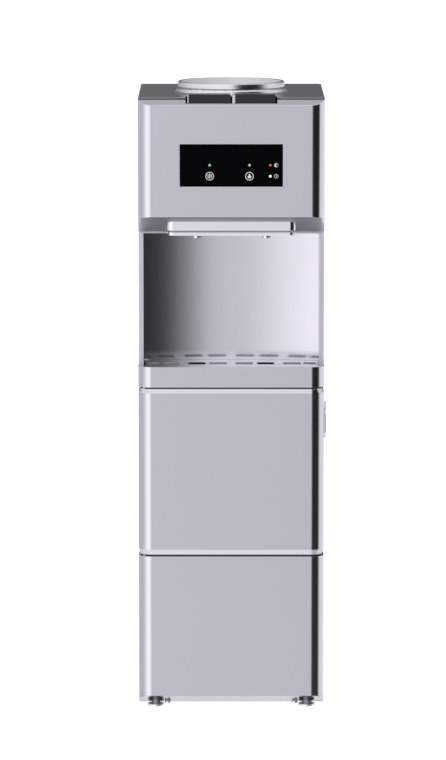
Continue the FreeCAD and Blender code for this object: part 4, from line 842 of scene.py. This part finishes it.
def printed_bar(bm, x0, z0, x1, z1, width):
    """A straight stroke between two places."""
    along = Vector((x1 - x0, z1 - z0)).normalized() * width / 2
    side = Vector((-along.y, along.x))
    printed(bm, [(x0 + side.x, z0 + side.y), (x0 - side.x, z0 - side.y), (x1 - side.x, z1 - side.y),
                 (x1 + side.x, z1 + side.y)])


def printed_ring(bm, x, z, radius, width, steps=40):
    """A ring, as a row of short strokes that share their corners."""
    outer, inner = arc(x, z, radius, 0, 360, steps), arc(x, z, radius - width, 0, 360, steps)
    for i in range(steps):
        printed(bm, [outer[i], outer[i + 1], inner[i + 1], inner[i]])


def printed_disc(bm, x, z, radius, start=0, end=360, front=PRINT_FRONT):
    """A disc, or the part of one between two angles."""
    points = arc(x, z, radius, start, end, 28)
    printed(bm, points[:-1] if end - start >= 360 else points, front)


print("printing tools ready")

# %% [markdown]
# ## Signs and lamps
# The snow crystal is six strokes with two barbs each, and the flame is one outline.  The lamps glow a
# little, so that they read as lit at any light.

# %% Signs and lamps
SNOW, FLAME, SIGN_Z, LAMP_Z, SMALL_X, LAMP_X = -36.0, 30.0, -17.8, 0.5, 74.4, 64.5
signs = bmesh.new()
for x in (SNOW, FLAME):
    printed_ring(signs, x, SIGN_Z, 7.0, 1.05)
for i in range(6):
    turn = math.radians(30 + 60 * i)
    dx, dz = math.cos(turn), math.sin(turn)
    printed_bar(signs, SNOW, SIGN_Z, SNOW + 4.6 * dx, SIGN_Z + 4.6 * dz, 0.8)
    for lean in (-0.9, 0.9):
        tip = (math.cos(turn + lean) * 1.9, math.sin(turn + lean) * 1.9)
        printed_bar(signs, SNOW + 2.4 * dx, SIGN_Z + 2.4 * dz, SNOW + 2.4 * dx + tip[0],
                    SIGN_Z + 2.4 * dz + tip[1], 0.65)
flame = [(0.2, 4.3), (-0.9, 3.2), (-0.9, 1.5), (-2.6, 0.1), (-3.2, -1.6), (-2.3, -3.3), (2.3, -3.3),
         (3.2, -1.6), (2.6, 0.1), (1.0, 1.5), (1.0, 3.0)]
printed(signs, [(FLAME + x, SIGN_Z + z) for x, z in flame])
printed_ring(signs, SMALL_X, LAMP_Z, 3.4, 0.5, 28)
printed_disc(signs, SMALL_X, LAMP_Z, 3.1, 90, 270)
printed_ring(signs, SMALL_X, SIGN_Z, 3.4, 0.6, 28)
printed_bar(signs, SMALL_X, SIGN_Z - 1.5, SMALL_X, SIGN_Z + 1.5, 0.7)
piece("display_signs", signs, print_grey, "cabinet")
for name, x, z in (("green", SNOW, LAMP_Z), ("soft_green", FLAME, LAMP_Z), ("red", LAMP_X, LAMP_Z),
                   ("yellow", LAMP_X, SIGN_Z)):
    bm = bmesh.new()
    printed_disc(bm, x, z, 2.0, front=LAMP_FRONT)
    piece("lamp_lens_" + name, bm, lamp_glow[name], "cabinet", edge=0.12 * MM)
print("signs and", len(lamp_glow), "lamp lenses")

# %% [markdown]
# ## Press keys
# Each key is a black cap whose side view is one polygon: it follows the head's bevel in front and is
# level on top.  The left end of each is a bright trim strip, narrow on the cold key and wide on the
# hot one, whose side view is drawn in a little.

# %% Keys
KEY_SPAN, BEAD, KEY_INNER, WIDE_BEAD = 73.0, 1.9, 1.3, 6.2
key_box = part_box("hot_key")
KEY_TOP, KEY_LOW = key_box[1].z, key_box[0].z
KEY_FRONT, KEY_CREST, KEY_BACK, KEY_DROP, BEAD_SHRINK = 7.0, 22.0, 56.0, 12.4, 0.15


def side_cut(bm, profile, x0, x1):
    """A side view carried across from x0 to x1 millimetres."""
    rings = [[Vector((x * MM, y_at(depth), z)) for depth, z in profile] for x in (x0, x1)]
    loft(bm, rings, closed=True, caps=(0, 1))


def key_side(shrink=0.0):
    """A key's side view as (depth, height) points, drawn in by shrink millimetres."""
    front, back, top = KEY_FRONT + shrink, KEY_BACK - shrink, KEY_TOP - shrink * MM
    return [(front, KEY_LOW), (front, KEY_TOP - (KEY_DROP + shrink * 0.4) * MM),
            (KEY_CREST + shrink * 0.4, top), (back, top), (back, KEY_LOW)]


KEY_PARTS = {"cold": ((-KEY_SPAN, -KEY_SPAN + BEAD), (-KEY_SPAN + BEAD, -KEY_INNER)),
             "hot": ((KEY_INNER, WIDE_BEAD), (WIDE_BEAD, KEY_SPAN))}
for name, (bead_span, cap_span) in KEY_PARTS.items():
    cap, bead = bmesh.new(), bmesh.new()
    side_cut(cap, key_side(), *cap_span)
    side_cut(bead, key_side(BEAD_SHRINK), bead_span[0], bead_span[1] + 0.4)
    piece(name + "_key_cap", cap, key_gloss, name + "_key", (name + "_key",), 0.9 * MM)
    piece(name + "_key_bead", bead, key_chrome, name + "_key", (), 0.8 * MM)
print("key caps from", round(KEY_LOW, 4), "to", round(KEY_TOP, 4))

# %% [markdown]
# ## Tubes at the back
# The condenser is one bent steel tube with wires welded across it, and copper pipes join it to the
# compressor.  A curve with a round bevel is the natural way to draw a tube: the corners of its route
# are rounded to the bender's radius first.

# %% Tubes
def bent_route(corners, bend, steps=8):
    """Points along a route whose corners are rounded to the bend radius."""
    points = [corners[0]]
    for before, here, after in zip(corners, corners[1:], corners[2:]):
        a, b = (before - here).normalized(), (after - here).normalized()
        half_turn = (math.pi - a.angle(b)) / 2
        reach = bend * math.tan(half_turn)
        centre = here + (a + b).normalized() * bend / math.cos(half_turn)
        start, end = here + a * reach - centre, here + b * reach - centre
        for i in range(steps + 1):
            share = i / steps
            full = start.angle(end)
            spread = (start * math.sin((1 - share) * full) + end * math.sin(share * full)) / math.sin(full)
            points.append(centre + spread)
    return points + [corners[-1]]


def tube(name, routes, radius, made, stands_for, sides=4):
    """Round tubes along several routes in one piece."""
    data = bpy.data.curves.new(name, "CURVE")
    data.dimensions, data.bevel_depth, data.bevel_resolution = "3D", radius * MM, sides
    data.use_fill_caps = True
    for route in routes:
        spline = data.splines.new("POLY")
        spline.points.add(len(route) - 1)
        for point, place in zip(spline.points, route):
            point.co = (*place, 1)
    settle(bpy.data.objects.new(name, data), made, "cabinet", stands_for)


print("tube tools ready")

# %% [markdown]
# ## Condenser
# The tube runs to and fro up the back, and its wires lie in two layers that hold it between them.

# %% Condenser
tube_box, wire_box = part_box("condenser_tube"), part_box("condenser_wires")
RACK_DEPTH = ((wire_box[0].y + wire_box[1].y) / 2 - FRONT) / MM
PASSES, RACK_HALF, COIL_R, SUCTION_R = 11, 110.0, 2.4, 3.5
WIRES, WIRE_R, WIRE_OUT, OVERHANG = 15, 0.8, 3.25, 14
RACK_LOW, RACK_HIGH = wire_box[0].z / MM + OVERHANG, wire_box[1].z / MM - OVERHANG
PITCH = (RACK_HIGH - RACK_LOW) / (PASSES - 1)
TAIL_RIGHT, TAIL_LEFT = tube_box[1].x / MM - COIL_R, tube_box[0].x / MM + COIL_R
route = [at(TAIL_RIGHT, RACK_DEPTH, RACK_LOW - 0.75 * PITCH), at(TAIL_RIGHT, RACK_DEPTH, RACK_LOW)]
for i in range(PASSES):
    z, side = RACK_LOW + i * PITCH, -1 if i % 2 == 0 else 1
    if i:
        route.append(at(-side * (RACK_HALF + PITCH / 2), RACK_DEPTH, z))
    route.append(at(side * (RACK_HALF + PITCH / 2), RACK_DEPTH, z))
route[-1] = at(TAIL_LEFT, RACK_DEPTH, RACK_HIGH)
route.append(at(TAIL_LEFT, RACK_DEPTH, RACK_HIGH - 0.75 * PITCH))
tube("condenser_coil", [bent_route(route, PITCH / 2 * MM * 0.999)], COIL_R, black_enamel,
     ("condenser_tube",))
wires = []
for i in range(WIRES):
    share = i / (WIRES - 1)
    x = (wire_box[0].x + (wire_box[1].x - wire_box[0].x) * share) / MM + WIRE_R * (1 - 2 * share)
    wires += [[at(x, RACK_DEPTH + side * WIRE_OUT, z) for z in (RACK_LOW - OVERHANG, RACK_HIGH + OVERHANG)]
              for side in (-1, 1)]
tube("condenser_grid", wires, WIRE_R, black_enamel, ("condenser_wires",), 2)
print("condenser pitch", round(PITCH, 2))

# %% [markdown]
# ## Copper pipes
# The hot gas leaves the compressor for the condenser by the thin pipe, and cold gas comes back from
# the tank's sleeve by the thicker one.

# %% Copper pipes
gas_box, return_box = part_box("discharge_pipe"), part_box("suction_pipe")
GAS_LOW, GAS_HIGH = gas_box[0].z / MM + COIL_R, gas_box[1].z / MM
GAS_X, SUCTION_START = 40, (-30, 255)
gas_route = [at(GAS_X, (gas_box[0].y - FRONT) / MM, GAS_LOW), at(GAS_X, RACK_DEPTH, GAS_LOW),
             at(TAIL_LEFT, RACK_DEPTH, GAS_LOW), at(TAIL_LEFT, RACK_DEPTH, GAS_HIGH)]
tube("hot_gas_pipe", [bent_route(gas_route, 14 * MM)], COIL_R, copper_bare, ("discharge_pipe",))
SUCTION_LOW, SUCTION_TOP = return_box[0].z / MM, return_box[1].z / MM - SUCTION_R
SUCTION_X, SUCTION_BACK = return_box[1].x / MM - SUCTION_R, (return_box[1].y - FRONT) / MM - SUCTION_R
SUCTION_RISE = SUCTION_LOW + 32
suction_route = [at(*SUCTION_START, SUCTION_LOW), at(*SUCTION_START, SUCTION_RISE),
                 at(SUCTION_START[0], SUCTION_BACK, SUCTION_RISE), at(SUCTION_X, SUCTION_BACK, SUCTION_RISE),
                 at(SUCTION_X, SUCTION_BACK, SUCTION_TOP), at(SUCTION_X, COLLAR_DEPTH, SUCTION_TOP),
                 at(103.5, COLLAR_DEPTH, SUCTION_TOP)]
tube("suction_line", [bent_route(suction_route, 11 * MM)], SUCTION_R, copper_bare, ("suction_pipe",))
print("gas pipe up to", round(GAS_HIGH), "suction line up to", round(SUCTION_TOP))

# %% [markdown]
# ## Compressor, drier and small parts of the back
# The compressor is two pressed steel cups welded at a seam band.  It is a turned shell on a foot
# plate with four holes.  The drier, the drain's cap and the lead's bushing are turned as well, and
# the screws have six-sided heads on round flanges.

# %% Drier
drier_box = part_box("filter_drier")
drier_x = (drier_box[0].x + drier_box[1].x) / 2
drier_low, drier_high = drier_box[0].z / MM, drier_box[1].z / MM
drier_profile = [(0, drier_low), (2.4, drier_low), (2.4, drier_low + 12), (4, drier_low + 16),
                 (7.2, drier_low + 20), (7.7, drier_low + 23), (7.7, drier_low + 71), (7.2, drier_low + 74),
                 (3.6, drier_low + 79), (2.4, drier_low + 82), (2.4, drier_high), (0, drier_high)]
lathe("drier_can", drier_profile, (drier_x, y_at(RACK_DEPTH), 0), copper_bare, "cabinet",
              ("filter_drier",), 32)


print("drier", round(drier_high - drier_low), "mm long")

# %% [markdown]
# ## Compressor shell
# The two cups meet in a raised band, and the upper one is a dome, so the whole is one side view.

# %% Compressor shell
shell_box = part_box("compressor")
shell_x, shell_depth = (shell_box[0].x + shell_box[1].x) / 2, 235.0
shell_low = shell_box[0].z / MM
SEAM, DOME, DOME_ROUND, FOOT_THICK = shell_low + 75, shell_low + 143, 42, 4
shell_profile = ([(0, shell_low + 4.2), (56, shell_low + 4.2)] + arc(56, shell_low + 13, 8.8, 270, 355, 5)
                 + [(68, SEAM - 1), (70.6, SEAM - 0.6), (71, SEAM), (71, SEAM + 5.4), (70.4, SEAM + 6),
                    (67, SEAM + 6.4), (66, SEAM + 12)]
                 + [(66 * math.cos(t), DOME - DOME_ROUND + DOME_ROUND * math.sin(t))
                    for t in (math.radians(v) for v in (4, 14, 26, 38, 50, 62, 74, 84))] + [(0, DOME)])
shell = lathe("compressor_shell", shell_profile, (shell_x, y_at(shell_depth), 0), black_enamel, "cabinet",
              ("compressor",), 72)
print("compressor top", round(DOME))

# %% [markdown]
# ## Compressor foot
# The foot plate sits on four rubber mounts.  A plate with holes needs a net again, since a face with
# a hole in it isn't a single polygon.

# %% Compressor foot
def plate_with_holes(bm, half_x, half_d, corner, low, high, holes, radius):
    """A level plate with round corners and round holes, as a net between two heights."""
    outline = (arc(half_x - corner, half_d - corner, corner, 0, 90, 5)
               + arc(corner - half_x, half_d - corner, corner, 90, 180, 5)
               + arc(corner - half_x, corner - half_d, corner, 180, 270, 5)
               + arc(half_x - corner, corner - half_d, corner, 270, 360, 5))
    loops = [outline] + [[(x + across, d + along) for across, along in circle(radius, 24)] for x, d in holes]
    flat, chains = [], []
    for loop in loops:
        first = len(flat)
        flat += [Vector(point) for point in loop]
        chains += [(first + i, first + (i + 1) % len(loop)) for i in range(len(loop))]
    points, _, faces, _, _, _ = delaunay_2d_cdt(flat, chains, [], 0, 1e-5)
    levels = [[bm.verts.new((shell_x + p.x * MM, y_at(shell_depth + p.y), z * MM)) for p in points]
              for z in (low, high)]
    edges = {}
    for face in faces:
        x, d = (sum(points[i][axis] for i in face) / len(face) for axis in (0, 1))
        if inside(x, d, outline) and all(math.hypot(x - hx, d - hd) > radius for hx, hd in holes):
            bm.faces.new([levels[1][i] for i in face])
            bm.faces.new([levels[0][i] for i in reversed(face)])
            for a, b in zip(face, face[1:] + face[:1]):
                edges[(min(a, b), max(a, b))] = edges.get((min(a, b), max(a, b)), 0) + 1
    for (a, b), count in edges.items():
        if count == 1:
            bm.faces.new((levels[0][a], levels[0][b], levels[1][b], levels[1][a]))


bm = bmesh.new()
bolt_places = [(x, d) for x in (-75, 75) for d in (-45, 45)]
plate_with_holes(bm, 87, 57, 10, shell_low, shell_low + FOOT_THICK, bolt_places, 6.2)
piece("compressor_foot", bm, black_enamel, "cabinet", (), 0.3 * MM, 60)
tube("compressor_stubs", [[at(GAS_X, 280, GAS_LOW), at(GAS_X, 311, GAS_LOW)],
                          [at(*SUCTION_START, DOME - 25), at(*SUCTION_START, SUCTION_LOW)]], 4.0,
     copper_bare, ())


print("foot plate and stubs made")

# %% [markdown]
# ## Drain cap and bushing
# The cap is fluted for the fingers: its radius dips between ridges.  The bushing is a turned ring of
# rubber where a lead would pass.

# %% Drain cap and bushing
cap_box, bush_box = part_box("drain_cap"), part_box("cord_gland")
cap_place = ((cap_box[0].x + cap_box[1].x) / 2, 0, (cap_box[0].z + cap_box[1].z) / 2)
cap_front, cap_back = (cap_box[0].y - FRONT) / MM, (cap_box[1].y - FRONT) / MM


def grooved_cap(sides=96, ridges=24):
    """A screw cap whose side is fluted for the fingers."""
    bm = bmesh.new()
    rings = []
    side = [(7.6, cap_front, 0), (10.6, cap_front, 0), (11.4, cap_front + 0.6, 0), (11.9, cap_front + 1.4, 1),
            (11.9, cap_back - 2.2, 1), (11.3, cap_back - 0.8, 0), (10.2, cap_back, 0), (6.0, cap_back, 0),
            (5.4, cap_back - 0.6, 0)]
    for radius, depth, flute in side:
        ring = []
        for i in range(sides):
            turn = 2 * math.pi * i / sides
            r = radius - flute * 0.55 * (0.5 - 0.5 * math.cos(ridges * turn)) ** 2
            ring.append(Vector((cap_place[0] + r * MM * math.cos(turn), y_at(depth),
                                cap_place[2] + r * MM * math.sin(turn))))
        rings.append(ring)
    loft(bm, rings, closed=True, caps=(-1,))
    return bm


piece("drain_screw_cap", grooved_cap(), trim_black, "drain_cap", ("drain_cap",))
bush_x, bush_z = (bush_box[0].x + bush_box[1].x) / 2, (bush_box[0].z + bush_box[1].z) / 2
bush_front, bush_back = (bush_box[0].y - FRONT) / MM, (bush_box[1].y - FRONT) / MM
bush_profile = [(4, bush_front), (10, bush_front), (10, bush_front + 5), (8, bush_front + 5),
                (8, bush_back - 4), (10, bush_back - 4), (10, bush_back - 1)] \
    + arc(9, bush_back - 1, 1, 0, 90, 4) + arc(5.2, bush_back - 1.2, 1.2, 90, 180, 4)
bush = lathe("lead_bushing", bush_profile, (bush_x, FRONT, bush_z), black_rubber, "cabinet",
             ("cord_gland",), 48, "Y")
print("drain cap at", [round(v, 3) for v in cap_place])

# %% [markdown]
# ## Screws
# All screws of the back are alike: a six-sided head on a round flange, in two columns.

# %% Screws
def flange_screws(bm, x, depth, z):
    """A six-sided head on a round flange, which faces backwards."""
    for radius, sides, low, high in ((4.0, 28, 0, 0.7), (3.2, 6, 0.7, 2.2)):
        rings = [[at(x + across, depth + rise, z + up) for across, up in circle(radius - inset, sides)]
                 for rise, inset in ((low, 0), (high - 0.25, 0), (high, 0.3))]
        loft(bm, rings, closed=True, caps=(0, -1))


bm = bmesh.new()
CLIP_X, CLIP_SHEET, CLIP_DROP = 102.5, 2.5, 14
panel_back, screw_x = (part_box("rear_panel")[1].y - FRONT) / MM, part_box("rear_screws")[1].x / MM - 4.0
screw_places = [(screw_x, panel_back, z) for z in (270, 520, 760, 1000)]
screw_places += [(CLIP_X, panel_back + CLIP_SHEET, RACK_LOW + row * PITCH - CLIP_DROP) for row in (2, 8)]
for x, depth, z in screw_places:
    for side in (-1, 1):
        flange_screws(bm, side * x, depth, z)
piece("back_screws", bm, zinc_steel, "cabinet", ("rear_screws",))
print("screws", 2 * len(screw_places))

# %% [markdown]
# ## Switch marks
# Each rocker has the two common signs for on and off, a bar and a ring, which follow its dished face.

# %% Switch marks
def rocker_marks(box, dish=1.3):
    """The bar and the ring that are printed on a rocker's dished face."""
    middle, half_tall, bm = (box[0] + box[1]) / 2, (box[1].z - box[0].z) / 2 / MM, bmesh.new()
    shapes = [[(-0.5, 3.4), (0.5, 3.4), (0.5, 7.0), (-0.5, 7.0)]]
    for i in range(20):
        a, b = math.radians(18 * i), math.radians(18 * (i + 1))
        shapes.append([(r * math.cos(t), r * math.sin(t) - 5.2)
                       for r, t in ((1.9, a), (1.9, b), (1.2, b), (1.2, a))])
    for shape in shapes:
        rings = [[Vector((middle.x + x * MM, box[1].y + (dish * (abs(z) / half_tall - 1) + rise) * MM,
                          middle.z + z * MM)) for x, z in shape] for rise in (-0.2, 0.06)]
        loft(bm, rings, closed=True, caps=(1,))
    return bm


for name, slot in (("cold", "rocker_green"), ("hot", "rocker_red")):
    marks = rocker_marks(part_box(name + "_rocker"))
    piece(name + "_switch_marks", marks, print_grey, name + "_switch")
print("switch marks printed")

# %% [markdown]
# ## Studio
# The object stands on a plain pale floor in front of a white background.  Large soft lamps light
# it evenly, and reflections don't see them.

# %% Floor and lamps
def camera_white(name, colour, share, strength=1.0):
    """A surface that looks white to the camera and in reflections, and keeps some of its shade."""
    made = bpy.data.materials.new(name)
    made.use_nodes = True
    tree = made.node_tree
    tree.nodes.clear()
    new, link = tree.nodes.new, tree.links.new
    out = new("ShaderNodeOutputMaterial")
    diffuse, glow = new("ShaderNodeBsdfDiffuse"), new("ShaderNodeEmission")
    set_inputs(diffuse, Color=(*colour, 1))
    set_inputs(glow, Strength=strength)
    path, most = new("ShaderNodeLightPath"), new("ShaderNodeMath")
    most.operation = "MAXIMUM"
    link(path.outputs["Is Camera Ray"], most.inputs[0])
    link(path.outputs["Is Glossy Ray"], most.inputs[1])
    amount = new("ShaderNodeMath")
    amount.operation = "MULTIPLY"
    amount.inputs[1].default_value = share
    link(most.outputs["Value"], amount.inputs[0])
    mix = new("ShaderNodeMixShader")
    link(amount.outputs["Value"], mix.inputs["Fac"])
    link(diffuse.outputs["BSDF"], mix.inputs[1])
    link(glow.outputs["Emission"], mix.inputs[2])
    link(mix.outputs["Shader"], out.inputs["Surface"])
    return made


floor_mesh = bpy.data.meshes.new("floor")
FLOOR_HALF, FLOOR_DROP = 30, 0.0005
floor_corners = [(x * FLOOR_HALF, y * FLOOR_HALF, 0) for x, y in ((-1, -1), (1, -1), (1, 1), (-1, 1))]
floor_mesh.from_pydata(floor_corners, [], [(0, 1, 2, 3)])
floor = bpy.data.objects.new("floor", floor_mesh)
floor.location.z = -FLOOR_DROP
bpy.context.scene.collection.objects.link(floor)
floor_mesh.materials.append(camera_white("floor_white", (0.93, 0.93, 0.93), 0.72, 1.25))
floor.visible_glossy = False


def soft_lamp(name, place, aim, power, size=1.8):
    """A large square lamp that points at a place."""
    data = bpy.data.lights.new(name, "AREA")
    data.shape, data.size, data.energy = "SQUARE", size, power
    lamp = bpy.data.objects.new(name, data)
    bpy.context.scene.collection.objects.link(lamp)
    lamp.location = place
    lamp.rotation_euler = (Vector(aim) - Vector(place)).to_track_quat("-Z", "Y").to_euler()
    lamp.visible_glossy = False
    return lamp


soft_lamp("front_lamp", (-1.6, -3.2, 2.2), (0, 0, 0.55), 70)
soft_lamp("fill_lamp", (2.4, -2.6, 1.6), (0, 0, 0.55), 25)
soft_lamp("back_lamp", (0.8, 3.0, 2.0), (0, 0, 0.6), 40)
print("floor and lamps ready")

# %% [markdown]
# ## What the gloss reflects
# A photographer tunes glossy metal with white cards and black flags round it.  Here the world does
# that work, for reflections only: a bright card to the left of the lens gives the left corners their
# bright line, and a black flag to its right gives the right ones their dark line.  It is white above,
# with a dark room behind that the flat top mirrors at a shallow angle.  The light that falls on matt
# surfaces stays plain and even.

# %% Reflections of a studio
TOP = 2.0


def level_ramp(tree, source, levels):
    """A ramp of grey over the azimuth, from (degrees, level) pairs; it returns its colour socket."""
    ramp = tree.nodes.new("ShaderNodeValToRGB")
    elements = ramp.color_ramp.elements
    while len(elements) < len(levels):
        elements.new(0.5)
    for element, (degrees, level) in zip(elements, levels):
        element.position = (degrees + 180.0) / 360.0
        element.color = (level / TOP, level / TOP, level / TOP, 1)
    tree.links.new(source, ramp.inputs["Fac"])
    return ramp.outputs["Color"]


def blend_levels(tree, height, low, high, start, end):
    """Passes from one colour to another as the direction's height goes from start to end."""
    share = tree.nodes.new("ShaderNodeMapRange")
    share.interpolation_type = "SMOOTHSTEP"
    set_inputs(share, From_Min=start, From_Max=end)
    mix = tree.nodes.new("ShaderNodeMixRGB")
    tree.links.new(height, share.inputs["Value"])
    tree.links.new(share.outputs["Result"], mix.inputs["Fac"])
    for socket, source in (("Color1", low), ("Color2", high)):
        if isinstance(source, float):
            mix.inputs[socket].default_value = (source / TOP, source / TOP, source / TOP, 1)
        else:
            tree.links.new(source, mix.inputs[socket])
    return mix.outputs["Color"]


print("reflection tools ready")

# %% [markdown]
# ## Grey levels
# Each list gives the grey level by azimuth, in degrees from straight ahead and positive to the right:
# at the lens's height, above it and below it.

# %% Grey levels round the object
AHEAD = [(-180, 0.15), (-158, 0.6), (-138, 0.85), (-84, 0.9), (-62, 1.25), (-38, 1.88), (-14, 1.6),
         (-6, 1.2), (-2.5, 1.0), (3.5, 0.98), (8, 0.4), (12, 0.07), (16, 0.02), (67, 0.02), (76, 0.6),
         (86, 1.25), (148, 1.3), (180, 0.15)]
ABOVE = [(-180, 0.17), (-150, 0.35), (-125, 0.9), (-90, 1.3), (4, 1.47), (11, 0.3), (18, 0.02), (66, 0.02),
         (78, 0.8), (90, 1.3), (125, 0.9), (150, 0.3), (180, 0.15)]
BELOW = [(-180, 1.0), (-90, 1.3), (-40, 1.5), (4, 1.45), (14, 1.0), (24, 0.8), (60, 0.8), (72, 1.0),
         (84, 1.2), (90, 1.3), (180, 1.0)]


print("levels", len(AHEAD), len(ABOVE), len(BELOW))

# %% [markdown]
# ## World
# The three lists pass into each other with the direction's height.  Camera rays see plain white, and
# light that falls on matt surfaces comes from an even grey.

# %% World
world = bpy.data.worlds.new("studio")
bpy.context.scene.world = world
world.use_nodes = True
tree = world.node_tree
tree.nodes.clear()
new, link = tree.nodes.new, tree.links.new
out = new("ShaderNodeOutputWorld")
place, split, flip = new("ShaderNodeTexCoord"), new("ShaderNodeSeparateXYZ"), new("ShaderNodeMath")
flip.operation = "MULTIPLY"
flip.inputs[1].default_value = -1.0
azimuth, share = new("ShaderNodeMath"), new("ShaderNodeMapRange")
azimuth.operation = "ARCTAN2"
set_inputs(share, From_Min=-math.pi, From_Max=math.pi)
link(place.outputs["Generated"], split.inputs["Vector"])
link(split.outputs["Y"], flip.inputs[0])
link(split.outputs["X"], azimuth.inputs[0])
link(flip.outputs["Value"], azimuth.inputs[1])
link(azimuth.outputs["Value"], share.inputs["Value"])
height, around = split.outputs["Z"], share.outputs["Result"]
level = blend_levels(tree, height, level_ramp(tree, around, BELOW), level_ramp(tree, around, AHEAD),
                     -0.36, -0.26)
level = blend_levels(tree, height, level, level_ramp(tree, around, ABOVE), -0.02, 0.05)
level = blend_levels(tree, height, level, 1.45, 0.62, 1.0)
mirrored, plain, dim = (new("ShaderNodeBackground") for _ in range(3))
link(level, mirrored.inputs["Color"])
set_inputs(mirrored, Strength=TOP)
set_inputs(plain, Color=(1, 1, 1, 1))
set_inputs(dim, Color=(1, 1, 1, 1), Strength=0.62)
path, either = new("ShaderNodeLightPath"), new("ShaderNodeMath")
either.operation = "MAXIMUM"
link(path.outputs["Is Camera Ray"], either.inputs[0])
link(path.outputs["Is Transmission Ray"], either.inputs[1])
first, second = new("ShaderNodeMixShader"), new("ShaderNodeMixShader")
link(path.outputs["Is Glossy Ray"], first.inputs["Fac"])
link(dim.outputs["Background"], first.inputs[1])
link(mirrored.outputs["Background"], first.inputs[2])
link(either.outputs["Value"], second.inputs["Fac"])
link(first.outputs["Shader"], second.inputs[1])
link(plain.outputs["Background"], second.inputs[2])
link(second.outputs["Shader"], out.inputs["Surface"])
print("studio ready")

bpy.context.view_layer.update()
